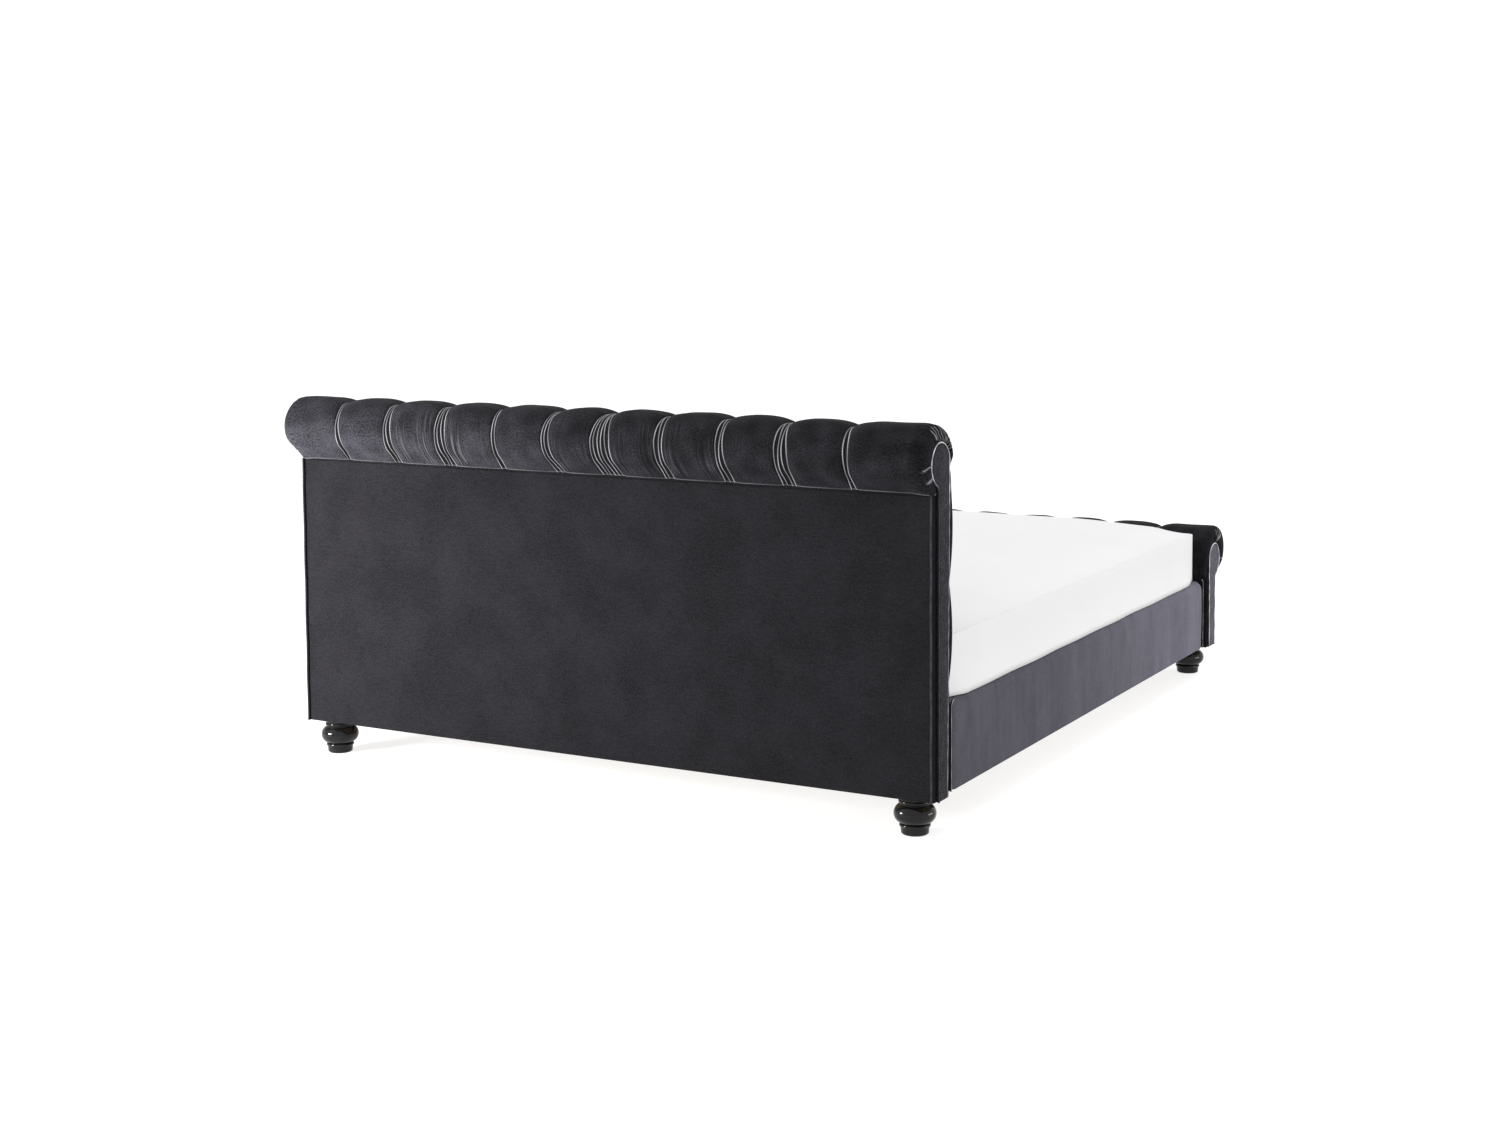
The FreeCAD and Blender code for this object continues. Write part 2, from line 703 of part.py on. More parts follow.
def build_rails():
    welts = []
    for side, name in ((-1, "left"), (1, "right")):
        y = ("-(rail_half_length)", "rail_half_length")
        outer = "half_width - rail_outer_foam"
        board_x = across(side, f"{outer} - rail_board_thickness", outer)
        board_z = ("rail_bottom", "rail_top - rail_top_foam")
        node(box(f"rail_{name}", board_x, y, board_z), f"side_rail_{name}")

        wrap = box(f"wrap_{name}", across(side, "rail_inside", "half_width"), y, ("rail_bottom", "rail_top"))
        rounded = doc.addObject("Part::Fillet", f"wrap_rounded_{name}")
        rounded.Base = wrap
        doc.recompute()
        edge = edge_at(wrap, value("half_width") * side, value("rail_top"))
        radius = value("rail_edge_radius")
        rounded.Edges = [(edge, radius, radius)]
        slot = box(f"wrap_slot_{name}", board_x, y, board_z)
        node(cut(f"wrap_cut_{name}", rounded, slot), f"side_rail_cover_{name}")

        ledge_y = ("-(clear_length) / 2 + ledge_end_gap", "clear_length / 2 - ledge_end_gap")
        ledge_x = across(side, "rail_inside - ledge_width", "rail_inside")
        ledge = box(f"ledge_{name}", ledge_x, ledge_y, ("ledge_top - ledge_height", "ledge_top"))
        node(ledge, f"slat_ledge_{name}")

        for end in (-1, 1):
            welts.append(rod(f"rail_welt_{name}_{end + 1}", "rail_welt_radius", "rail_height",
                             f"{side} * (half_width - rail_welt_radius)",
                             f"{end} * (clear_length / 2 - rail_welt_radius)", "rail_bottom"))
    node(group("rail_welts", welts), "rail_end_welts")


def edge_at(item, x, z):
    """The number of the box's edge that runs along y at the given x and z."""
    for number, edge in enumerate(item.Shape.Edges, start=1):
        centre = edge.CenterOfMass
        if abs(centre.x - x) < 1e-6 and abs(centre.z - z) < 1e-6:
            return number
    raise ValueError("the rail cover has no such edge")


# ---------------------------------------------------------------- slat base

def slat_places():
    """y of the middle of each slat."""
    first = "(slat_end_margin + slat_width / 2 - clear_length / 2)"
    return [f"{first} * {1 - 2 * number / (SLATS_PER_SIDE - 1)}" for number in range(SLATS_PER_SIDE)]


def build_base():
    width = "slat_width / 2"
    slats = {}
    for side, name in ((-1, "left"), (1, "right")):
        x = across(side, "slat_centre_gap / 2", "rail_inside - socket_wall")
        slats[side] = group(f"slats_{name}", [
            box(f"slat_{name}_{number + 1}", x, (f"{y} - {width}", f"{y} + {width}"),
                ("slat_bottom", "slat_top"))
            for number, y in enumerate(slat_places())])
        node(slats[side], f"slats_{name}")

        end = across(side, "rail_inside - socket_length", "rail_inside")
        sockets = [socket(f"side_socket_{name}_{number + 1}", end, y)
                   for number, y in enumerate(slat_places())]
        node(cut(f"side_sockets_{name}", group(f"side_socket_blanks_{name}", sockets), slats[side]),
             f"slat_side_sockets_{name}")

    middle = [socket(f"centre_socket_{number + 1}", ("-socket_length", "socket_length"), y)
              for number, y in enumerate(slat_places())]
    half_cut = cut("centre_sockets_half", group("centre_socket_blanks", middle), slats[-1])
    node(cut("centre_sockets", half_cut, slats[1]), "slat_centre_sockets")
    build_beam()


def socket(name, x, y):
    """A moulded socket around the end of a slat, open at the top."""
    half = "(slat_width / 2 + socket_wall)"
    return box(name, x, (f"{y} - {half}", f"{y} + {half}"), ("ledge_top", "slat_top"))


def build_beam():
    beam_end = "(clear_length / 2 - hanger_thickness)"
    beam_x = ("-beam_width / 2", "beam_width / 2")
    beam_z = ("ledge_top - beam_height", "ledge_top")
    node(box("beam", beam_x, (f"-{beam_end}", beam_end), beam_z), "centre_beam")

    hangers = []
    for end in (-1, 1):
        near, far = (f"{end} * (clear_length / 2 - hanger_reach)", f"{end} * (clear_length / 2)")
        y = (near, far) if end > 0 else (far, near)
        shell_x = ("-beam_width / 2 - hanger_thickness", "beam_width / 2 + hanger_thickness")
        shell_z = ("ledge_top - beam_height - hanger_thickness", "ledge_top")
        hangers.append(box(f"hanger_shell_{end + 1}", shell_x, y, shell_z))
    room_z = ("ledge_top - beam_height", "ledge_top + overrun")
    room = box("hanger_room", beam_x, (f"-{beam_end}", beam_end), room_z)
    node(cut("hangers", group("hanger_shells", hangers), room), "beam_hangers")

    legs, glides = [], []
    for number in range(CENTRE_LEGS):
        y = f"clear_length * {(number + 1) / (CENTRE_LEGS + 1) - 0.5}"
        leg_length = "ledge_top - beam_height - glide_height"
        legs.append(rod(f"leg_{number}", "leg_radius", leg_length, "0", y, "glide_height"))
        glides.append(rod(f"glide_{number}", "glide_radius", "glide_height", "0", y, "0"))
    node(group("legs", legs), "centre_legs")
    node(group("glides", glides), "centre_leg_glides")


# ---------------------------------------------------------------- turned feet

def bulge(low, high, waist, belly):
    """An arc from a waist out to a belly and back at a higher level, as a move of draw()."""
    rise = f"((({high}) - ({low})) / 2)"
    depth = f"({belly} - {waist})"
    radius = f"(({rise}^2 + {depth}^2) / (2 * {depth}))"
    return waist, high, (f"{belly} - {radius}", f"({low} + {high}) / 2"), radius, 1


def foot_body(name):
    """A turned bun foot: base, ring, ball and collar, bored for its screw."""
    part = body(name)
    profile = sketch_on(part, name + "_profile", "XZ_Plane")
    ring_low = "(foot_base_height + foot_groove_height)"
    ring_top = f"({ring_low} + foot_ring_height)"
    ball_low = f"({ring_top} + foot_groove_height)"
    collar_top = "(foot_height - foot_stub_height)"
    collar_low = f"({collar_top} - foot_collar_height)"
    ball_top = f"({collar_low} - foot_groove_height)"
    ring_waist = "(foot_ring_radius - foot_bead_depth)"
    ball_waist = "(foot_ball_radius - foot_ball_depth)"
    collar_waist = "(foot_collar_radius - foot_bead_depth)"
    socket_floor_z = "foot_height - foot_screw_bite"
    start = ("0", "0")
    moves = [
        ("foot_base_radius - foot_base_chamfer", "0"),
        ("foot_base_radius", "foot_base_chamfer"),
        (ring_waist, "foot_base_height"),
        (ring_waist, ring_low),
        bulge(ring_low, ring_top, ring_waist, "foot_ring_radius"),
        (ball_waist, ball_low),
        bulge(ball_low, ball_top, ball_waist, "foot_ball_radius"),
        (collar_waist, collar_low),
        bulge(collar_low, collar_top, collar_waist, "foot_collar_radius"),
        (collar_waist, "foot_height"),
        ("foot_screw_radius", "foot_height"),
        ("foot_screw_radius", socket_floor_z),
        ("0", socket_floor_z),
        start,
    ]
    draw(profile, start, moves)
    turned = part.newObject("PartDesign::Revolution", name + "_turned")
    turned.Profile = profile
    turned.ReferenceAxis = (profile, ["V_Axis"])
    turned.Angle = 360
    part.Tip = turned
    return part


def build_feet(boards):
    screws = []
    for board in boards:
        end = "head" if board.name == "headboard" else "foot"
        for side in (-1, 1):
            foot = foot_body(f"bun_{board.name}_{side_tag(side)}")
            board.place(foot, f"{side} * (foot_x)", "foot_inset_along")
            node(foot, f"bun_foot_{end}_{board.side_name(side)}")
            length = "2 * foot_screw_bite"
            name = f"foot_screw_{board.name}_{side_tag(side)}"
            screw = rod(name, "foot_screw_radius", length, "0", "0", "0")
            board.place(screw, f"{side} * (foot_x)", "foot_inset_along", "foot_height - foot_screw_bite")
            screws.append(screw)
    node(group("foot_screws", screws), "foot_hanger_bolts")


# ---------------------------------------------------------------- mattress

def build_mattress():
    x = ("-mattress_width / 2", "mattress_width / 2")
    y = ("-mattress_length / 2", "mattress_length / 2")
    block = box("mattress_block", x, y, ("slat_top", "slat_top + mattress_thickness"))
    doc.recompute()
    radius = value("mattress_corner_radius")
    upright = [(number, radius, radius) for number, edge in enumerate(block.Shape.Edges, start=1)
               if abs(edge.tangentAt(edge.FirstParameter).z) > 0.5]
    corners = doc.addObject("Part::Fillet", "mattress_corners")
    corners.Base, corners.Edges = block, upright
    doc.recompute()
    top = value("slat_top + mattress_thickness")
    radius = value("mattress_edge_radius")
    around = [(number, radius, radius) for number, edge in enumerate(corners.Shape.Edges, start=1)
              if abs(edge.CenterOfMass.z - top) < 1e-6]
    rounded = doc.addObject("Part::Fillet", "mattress_rounded")
    rounded.Base, rounded.Edges = corners, around
    node(rounded, "mattress")


# ---------------------------------------------------------------- the bed

headboard = Board("headboard", way=-1, button_rows=5)
footboard = Board("footboard", way=1, button_rows=1)
for each in (headboard, footboard):
    build_frame(each)
    build_ribs(each)
    build_facing(each)
    build_padding(each)
    build_outer_panel(each)
    build_end_panels(each)
    build_packing(each)
build_brackets((headboard, footboard))
build_rails()
build_base()
build_feet((headboard, footboard))
build_mattress()
doc.recompute()

faults = [item.Label for item in doc.Objects if {"Invalid", "Error"} & set(item.State)]
faults += [item.Label for item in nodes if item.Shape.isNull() or not item.Shape.isValid()]
if faults:
    raise RuntimeError(f"these failed to build: {faults}")

os.makedirs("parts", exist_ok=True)
for item in nodes:
    item.Shape.exportStep(f"parts/{item.Label}.step")
print(f"{len(nodes)} sub-parts written")
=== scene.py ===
import logging
import math
from collections.abc import Sequence
from dataclasses import dataclass, field
from enum import Enum

import bpy
import numpy as np
from mathutils import Matrix, Vector


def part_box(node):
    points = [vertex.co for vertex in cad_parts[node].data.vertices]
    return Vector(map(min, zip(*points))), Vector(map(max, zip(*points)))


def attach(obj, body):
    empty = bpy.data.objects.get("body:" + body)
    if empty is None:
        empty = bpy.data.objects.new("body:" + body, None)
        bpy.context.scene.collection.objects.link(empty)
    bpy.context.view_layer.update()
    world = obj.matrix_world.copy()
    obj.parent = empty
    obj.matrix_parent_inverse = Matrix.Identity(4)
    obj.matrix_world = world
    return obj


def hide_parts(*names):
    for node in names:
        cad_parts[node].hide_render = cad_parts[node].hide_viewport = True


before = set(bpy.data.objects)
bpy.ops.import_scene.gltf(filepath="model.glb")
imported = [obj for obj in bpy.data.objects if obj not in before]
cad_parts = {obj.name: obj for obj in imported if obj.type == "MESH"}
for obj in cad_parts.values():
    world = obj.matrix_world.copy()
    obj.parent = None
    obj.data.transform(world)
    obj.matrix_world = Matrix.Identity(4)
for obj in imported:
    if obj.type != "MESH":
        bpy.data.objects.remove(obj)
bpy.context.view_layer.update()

log = logging.getLogger("sleigh_bed")

MM = 0.001
CLOTH_MAP = "cloth"  # the pieces' own UV map, in metres: across the cloth and along it
PAINTED_HIGHLIGHT = "painted_highlight"          # attribute: painted highlight along fold crests, the hem and the piping
SHADE = "shade"      # attribute: painted shade where the cloth is pinched, in hollows and over the roll
CRUSH = "crush"      # attribute: where the pile is crushed into fine lines

Pair = tuple[float, float]
Colour = tuple[float, float, float, float]
Settings = dict[str, object]
Inputs = dict[str | int, object]


# ---------------------------------------------------------------- numbers

def smooth(low: float, high: float, value: np.ndarray) -> np.ndarray:
    """Rises softly from 0 at low to 1 at high."""
    share = np.clip((value - low) / (high - low), 0, 1)
    return share * share * (3 - 2 * share)


def bump(value: np.ndarray, width: float) -> np.ndarray:
    """A soft bump that is 1 at zero and falls off over the width."""
    return np.exp(-(value / width) ** 2)


def waves(across: np.ndarray, along: np.ndarray, size: float, seed: int) -> np.ndarray:
    """Slow unevenness between about -1 and 1, the same on each run.

    Args:
        across: places across the cloth, in metres.
        along: places along the cloth, in metres.
        size: the usual distance between two swells, in metres.
        seed: picks one pattern among many.

    Returns:
        The height of the unevenness at each place.
    """
    count, gain = 5, 1.6  # how many waves are added, and what brings their mean back to about 1
    draw = np.random.default_rng(seed)
    total = 0.0
    for _ in range(count):
        turn = draw.uniform(0, math.pi)
        pace = draw.uniform(0.7, 1.5) * 2 * math.pi / size
        start = draw.uniform(0, 2 * math.pi)
        total = total + np.sin(pace * (across * math.cos(turn) + along * math.sin(turn)) + start)
    return total / count * gain


def run_lengths(points: np.ndarray) -> np.ndarray:
    """How far along a line each of its points is."""
    return np.concatenate([[0], np.cumsum(np.linalg.norm(np.diff(points, axis=0), axis=1))])


# ---------------------------------------------------------------- shader arithmetic

class Signal:
    """A value that varies over a surface, with the arithmetic that the finishes use on it."""

    def __init__(self, paint: "Paint", socket: bpy.types.NodeSocket) -> None:
        """Wraps one output socket of a material."""
        self.paint, self.socket = paint, socket

    def math(self, operation: str, *values: "Signal | float") -> "Signal":
        """Adds one Math node to the material and returns what it gives."""
        return self.paint.signal("Math", {"operation": operation}, dict(enumerate(values)))

    def __add__(self, other: "Signal | float") -> "Signal":
        """self + other."""
        return self.math("ADD", self, other)

    def __radd__(self, other: float) -> "Signal":
        """other + self."""
        return self.math("ADD", other, self)

    def __sub__(self, other: "Signal | float") -> "Signal":
        """self - other."""
        return self.math("SUBTRACT", self, other)

    def __rsub__(self, other: float) -> "Signal":
        """other - self."""
        return self.math("SUBTRACT", other, self)

    def __mul__(self, other: "Signal | float") -> "Signal":
        """self * other."""
        return self.math("MULTIPLY", self, other)

    def __rmul__(self, other: float) -> "Signal":
        """other * self."""
        return self.math("MULTIPLY", other, self)


class Paint:
    """One material while its nodes are being laid."""

    def __init__(self, name: str) -> None:
        """Starts a material with one Principled shader and nothing else."""
        self.material = bpy.data.materials.new(name)
        self.material.use_nodes = True
        self.tree = self.material.node_tree
        self.tree.nodes.clear()
        self.shader = self.tree.nodes.new("ShaderNodeBsdfPrincipled")
        output = self.tree.nodes.new("ShaderNodeOutputMaterial")
        self.tree.links.new(self.shader.outputs[0], output.inputs[0])

    def fill(self, node: bpy.types.Node, inputs: Inputs) -> None:
        """Gives each named socket of a node its value or its link."""
        for key, value in inputs.items():
            if isinstance(value, Signal):
                self.tree.links.new(value.socket, node.inputs[key])
            else:
                node.inputs[key].default_value = value

    def node(self, kind: str, settings: Settings, inputs: Inputs) -> bpy.types.Node:
        """Adds a node.

        Args:
            kind: the node's type, without the ShaderNode in front.
            settings: what is set on the node itself, before its sockets.
            inputs: a value or a Signal for each socket, by name or number.

        Returns:
            The new node.
        """
        node = self.tree.nodes.new("ShaderNode" + kind)
        for key, value in settings.items():
            setattr(node, key, value)
        self.fill(node, inputs)
        return node

    def signal(self, kind: str, settings: Settings, inputs: Inputs, output: str | int = 0) -> Signal:
        """Adds a node and returns one of its outputs."""
        return Signal(self, self.node(kind, settings, inputs).outputs[output])

    def finish(self, **uniform: object) -> bpy.types.Material:
        """Sets the Principled shader's sockets, spaces in their names written as underscores."""
        self.fill(self.shader, {name.replace("_", " "): value for name, value in uniform.items()})
        return self.material

    def place(self, scale: tuple[float, float, float] = (1, 1, 1), cloth: bool = False) -> Signal:
        """Object coordinates, or the cloth map's, times a scale along each axis."""
        if cloth:
            start = self.signal("UVMap", {"uv_map": CLOTH_MAP}, {})
        else:
            start = self.signal("TexCoord", {}, {}, "Object")
        return self.signal("Mapping", {}, {"Vector": start, "Scale": scale})

    def noise(self, place: Signal, scale: float, detail: float = 2, roughness: float = 0.5) -> Signal:
        """Cloudy variation around 0.5."""
        inputs = {"Vector": place, "Scale": scale, "Detail": detail, "Roughness": roughness}
        return self.signal("TexNoise", {}, inputs, "Fac")

    def attribute(self, name: str) -> Signal:
        """A number kept on the mesh."""
        return self.signal("Attribute", {"attribute_name": name}, {}, "Fac")

    def spread(self, value: Signal, low: float, high: float, to_low: float = 0, to_high: float = 1) -> Signal:
        """Stretches a value between two limits, softly."""
        inputs = {"Value": value, "From Min": low, "From Max": high, "To Min": to_low, "To Max": to_high}
        return self.signal("MapRange", {"interpolation_type": "SMOOTHSTEP"}, inputs)

    def blend(self, share: Signal, first: object, second: object) -> Signal:
        """Mixes two colours."""
        return self.signal("Mix", {"data_type": "RGBA"}, {0: share, 6: first, 7: second}, 2)

    def relief(self, height: Signal, depth: float, strength: float = 1.0) -> Signal:
        """A bumped normal from a height of 0 to 1 times a depth in metres."""
        return self.signal("Bump", {}, {"Height": height, "Distance": depth, "Strength": strength}, "Normal")


def grey(level: float, red: float = 1.0, blue: float = 1.0) -> Colour:
    """A near-grey colour of a linear level, warmed or cooled a little."""
    return level * red, level, level * blue, 1.0


# ---------------------------------------------------------------- finishes

@dataclass(frozen=True)
class Velvet:
    """Short-pile velvet, with painted shade where the cloth is pressed and painted highlights on its folds.
    """

    name: str
    level: float
    # the level of the painted highlights on folds
    highlight_level: float = 0.2
    folded: bool = False     # the piece carries the painted-highlight, painted-shade and crush attributes
    streaks: bool = False    # upright brush marks, as on a flat rail
    laid: float = 1.0        # painted light: how much paler it is at the foot end
    contrast: float = 0.5    # how far the tone strays from the level, as a share of it
    sheen: float = 0.012
    roughness: float = 0.8
    painted_light_turns: tuple[float, float] = (-1.15, 0.6)  # where along the bed the painted light's change begins and ends

    def shades(self, paint: Paint, tone: Signal, level: float) -> Signal:
        """The dark and the pale of the pile round one level."""
        dark = grey(level * (1 - self.contrast), 1.02, 1.25)
        pale = grey(level * (1 + self.contrast), 1.02, 1.2)
        return paint.blend(tone, dark, pale)

    def tone(self, paint: Paint, pile: Signal, place: Signal) -> Signal:
        """Where the cloth is dark and where it is pale, from 0 to 1."""
        cloud = paint.noise(place, scale=18, detail=4, roughness=0.6)
        tone = paint.spread(pile, 0.32, 0.68) * 0.72 + paint.spread(cloud, 0.3, 0.7) * 0.28
        if self.streaks:
            brush = paint.noise(paint.place((1, 16, 2.5)), scale=1.0, detail=5, roughness=0.7)
            tone = tone * 0.6 + paint.spread(brush, 0.3, 0.7) * 0.4
        return tone

    def crush_lines(self, paint: Paint, colour: Signal) -> tuple[Signal, Signal]:
        """Fine dark and pale lines of crushed pile.

        Args:
            paint: the material that is being built.
            colour: the cloth's colour without them.

        Returns:
            The colour with the lines, and where the pale ones are.
        """
        lines = paint.noise(paint.place((210, 7, 1), cloth=True), scale=1.0, detail=0, roughness=0.4)
        crushed = paint.spread(lines, 0.52, 0.62) * paint.attribute(CRUSH)
        pressed = paint.spread(lines, 0.48, 0.38) * paint.attribute(CRUSH)
        colour = paint.blend(pressed * 0.8, colour, grey(self.level * 0.2))
        return paint.blend(crushed * 0.7, colour, grey(self.highlight_level * 0.4, 1.0, 1.1)), crushed

    def material(self) -> bpy.types.Material:
        """Builds the finish."""
        paint = Paint(self.name)
        place = paint.place(cloth=self.folded)
        pile = paint.noise(place, scale=210, detail=2, roughness=0.8)
        tone = self.tone(paint, pile, place)
        colour = self.shades(paint, tone, self.level)
        height = pile
        # Painted light: the cloth is paler towards the foot end.
        if self.laid > 1:
            length = paint.signal("SeparateXYZ", {}, {0: paint.place()}, "Y")
            share = paint.spread(length, *self.painted_light_turns, 1, 0)
            colour = paint.blend(share, colour, self.shades(paint, tone, self.level * self.laid))
        if self.folded:
            colour, crushed = self.crush_lines(paint, colour)
            height = height + crushed * 2.0
            # Painted shade where the mesh is marked shade, then painted highlights where it is marked
            # highlight.
            darkest, dark = grey(self.level * 0.03, 1.02, 1.2), grey(self.level * 0.24, 1.02, 1.2)
            colour = paint.blend(paint.attribute(SHADE), colour, paint.blend(tone, darkest, dark))
            colour = paint.blend(paint.attribute(PAINTED_HIGHLIGHT), colour, grey(self.highlight_level, 1.0, 1.05))
        return paint.finish(Base_Color=colour, Roughness=self.roughness, Sheen_Weight=self.sheen,
                            Sheen_Roughness=0.5, Sheen_Tint=grey(0.75, 1.0, 1.15), Specular_IOR_Level=0.04,
                            Normal=paint.relief(height, depth=0.0006, strength=0.6))


@dataclass(frozen=True)
class WovenCloth:
    """Matt plain-weave lining cloth."""

    name: str
    level: float
    pitch: float = 0.0016          # from one thread to the next
    bands_per_unit: float = 3.2    # how many bands a Wave node of scale 1 draws in a metre

    def threads(self, paint: Paint, axis: str) -> Signal:
        """The rise and fall of the threads that are crossed along an axis."""
        scale = 1 / self.pitch / self.bands_per_unit
        inputs = {"Vector": paint.place(), "Scale": scale, "Distortion": 1.2, "Detail": 1.0}
        return paint.signal("TexWave", {"wave_type": "BANDS", "bands_direction": axis}, inputs)

    def material(self) -> bpy.types.Material:
        """Builds the finish."""
        paint = Paint(self.name)
        place = paint.place()
        weave = self.threads(paint, "X") * self.threads(paint, "Z")
        slub = paint.noise(paint.place((40, 40, 260)), scale=1.0, detail=3, roughness=0.6)
        cloud = paint.noise(place, scale=7, detail=4, roughness=0.6)
        speck = paint.noise(place, scale=240, detail=2, roughness=0.7)
        tone = paint.spread(slub, 0.3, 0.7) * 0.2 + paint.spread(cloud, 0.3, 0.7) * 0.25 \
            + paint.spread(speck, 0.35, 0.65) * 0.45 + weave * 0.1
        colour = paint.blend(tone, grey(self.level * 0.4, 1.04, 1.18), grey(self.level * 1.6, 1.04, 1.18))
        return paint.finish(Base_Color=colour, Roughness=0.92, Specular_IOR_Level=0.05,
                            Normal=paint.relief(weave + speck * 0.5, depth=0.0003, strength=0.5))


@dataclass(frozen=True)
class Lacquer:
    """Black lacquer over turned wood."""

    name: str
    level: float = 0.004

    def material(self) -> bpy.types.Material:
        """Builds the finish."""
        paint = Paint(self.name)
        dust = paint.noise(paint.place(), scale=60, detail=4, roughness=0.6)
        grain = paint.noise(paint.place((18, 18, 90)), scale=1.0, detail=5, roughness=0.6)
        clean, dusty = grey(self.level, 1.1), grey(self.level * 2.2, 1.1)
        colour = paint.blend(paint.spread(dust, 0.35, 0.75), clean, dusty)
        rough = paint.spread(dust, 0.3, 0.8, 0.07, 0.16)
        return paint.finish(Base_Color=colour, Roughness=rough, Coat_Weight=0.12, Coat_Roughness=0.03,
                            Specular_IOR_Level=0.16, Normal=paint.relief(grain, depth=0.0004, strength=0.12))


@dataclass(frozen=True)
class Timber:
    """Planed wood or plywood, its grain along one axis."""

    name: str
    light: Colour
    dark: Colour
    grain: tuple[float, float, float] = (40, 2.5, 40)

    def material(self) -> bpy.types.Material:
        """Builds the finish."""
        paint = Paint(self.name)
        finer = tuple(6 * step for step in self.grain)
        rings = paint.noise(paint.place(self.grain), scale=1.0, detail=6, roughness=0.62)
        pores = paint.noise(paint.place(finer), scale=1.0, detail=3, roughness=0.7)
        tone = paint.spread(rings, 0.32, 0.68) * 0.7 + paint.spread(pores, 0.45, 0.75) * 0.3
        return paint.finish(Base_Color=paint.blend(tone, self.light, self.dark),
                            Roughness=paint.spread(pores, 0.3, 0.7, 0.55, 0.75),
                            Normal=paint.relief(pores, depth=0.0003, strength=0.4))


@dataclass(frozen=True)
class Metal:
    """Painted or plated steel."""

    name: str
    colour: Colour
    metallic: float
    roughness: float

    def material(self) -> bpy.types.Material:
        """Builds the finish."""
        paint = Paint(self.name)
        place = paint.place()
        stain = paint.noise(place, scale=25, detail=4, roughness=0.6)
        peel = paint.noise(place, scale=700, detail=2, roughness=0.5)
        darker = tuple(0.7 * part for part in self.colour[:3]) + (1.0,)
        return paint.finish(Base_Color=paint.blend(paint.spread(stain, 0.35, 0.7), self.colour, darker),
                            Metallic=self.metallic,
                            Roughness=paint.spread(stain, 0.3, 0.7, self.roughness, self.roughness + 0.15),
                            Normal=paint.relief(peel, depth=0.0002, strength=0.3))


@dataclass(frozen=True)
class Plastic:
    """Moulded matt plastic."""

    name: str
    level: float

    def material(self) -> bpy.types.Material:
        """Builds the finish."""
        paint = Paint(self.name)
        spark = paint.noise(paint.place(), scale=900, detail=2, roughness=0.5)
        colour = paint.blend(spark, grey(self.level * 0.8), grey(self.level * 1.25))
        relief = paint.relief(spark, depth=0.0002, strength=0.4)
        return paint.finish(Base_Color=colour, Roughness=0.5, Normal=relief)


@dataclass(frozen=True)
class MattressCloth:
    """White knitted cover of a mattress."""

    name: str
    level: float = 0.55

    def material(self) -> bpy.types.Material:
        """Builds the finish."""
        paint = Paint(self.name)
        knit = paint.noise(paint.place((700, 500, 700)), scale=1.0, detail=2, roughness=0.5)
        cloud = paint.noise(paint.place(), scale=5, detail=3, roughness=0.5)
        dull, bright = grey(self.level * 0.985), grey(self.level, 1.0, 1.005)
        colour = paint.blend(paint.spread(cloud, 0.3, 0.7), dull, bright)
        return paint.finish(Base_Color=colour, Roughness=0.95, Specular_IOR_Level=0.04,
                            Normal=paint.relief(knit, depth=0.0005, strength=0.3))


class Finishes:
    """Every finish of the bed, each made once."""

    def __init__(self) -> None:
        """Builds the materials."""
        # The velvet copies' levels carry painted light and shade: paler on the rails and the footboard's
        # ends, darker on the headboard's ends.
        self.tufted = Velvet("tufted_velvet", 0.034, 0.36, folded=True, contrast=0.9).material()
        self.head_end = Velvet("head_end_velvet", 0.021, contrast=0.7).material()
        self.foot_end = Velvet("foot_end_velvet", 0.070, contrast=0.5).material()
        self.rail = Velvet("rail_velvet", 0.057, streaks=True, laid=1.85, contrast=0.28).material()
        self.button = Velvet("button_velvet", 0.045).material()
        self.welt = Velvet("welt_velvet", 0.014, 0.9, folded=True).material()
        self.back = WovenCloth("woven_back_cloth", 0.0105).material()
        self.edge = WovenCloth("edge_cloth", 0.008).material()
        self.mattress = MattressCloth("mattress_cloth").material()
        self.lacquer = Lacquer("black_lacquer").material()
        self.frame_timber = Timber("pine_frame", grey(0.45, 1.35, 0.55), grey(0.30, 1.5, 0.45)).material()
        self.plywood = Timber("bending_plywood", grey(0.5, 1.3, 0.6), grey(0.36, 1.4, 0.5),
                              grain=(3, 30, 30)).material()
        self.slat = Timber("birch_slat", grey(0.6, 1.2, 0.68), grey(0.45, 1.3, 0.55),
                           grain=(3, 45, 45)).material()
        self.painted = Metal("painted_steel", grey(0.02), 0.0, 0.4).material()
        self.zinc = Metal("zinc_steel", grey(0.6, 1.0, 1.03), 1.0, 0.3).material()
        self.plastic = Plastic("socket_plastic", 0.015).material()


# ---------------------------------------------------------------- modelling by hand

def drop_selection() -> None:
    """Leaves nothing selected."""
    bpy.ops.object.select_all(action="DESELECT")


def take(piece: bpy.types.Object) -> None:
    """Selects one object alone and makes it the active one."""
    drop_selection()
    piece.select_set(True)
    bpy.context.view_layer.objects.active = piece


def added(name: str) -> bpy.types.Object:
    """Names the primitive that was just added."""
    piece = bpy.context.object
    piece.name = name
    piece.data.name = name
    return piece


def place_in_mesh(piece: bpy.types.Object) -> None:
    """Moves the object's place into its mesh, so that the object sits unturned at the origin."""
    take(piece)
    bpy.ops.object.transform_apply(location=True, rotation=True, scale=True)


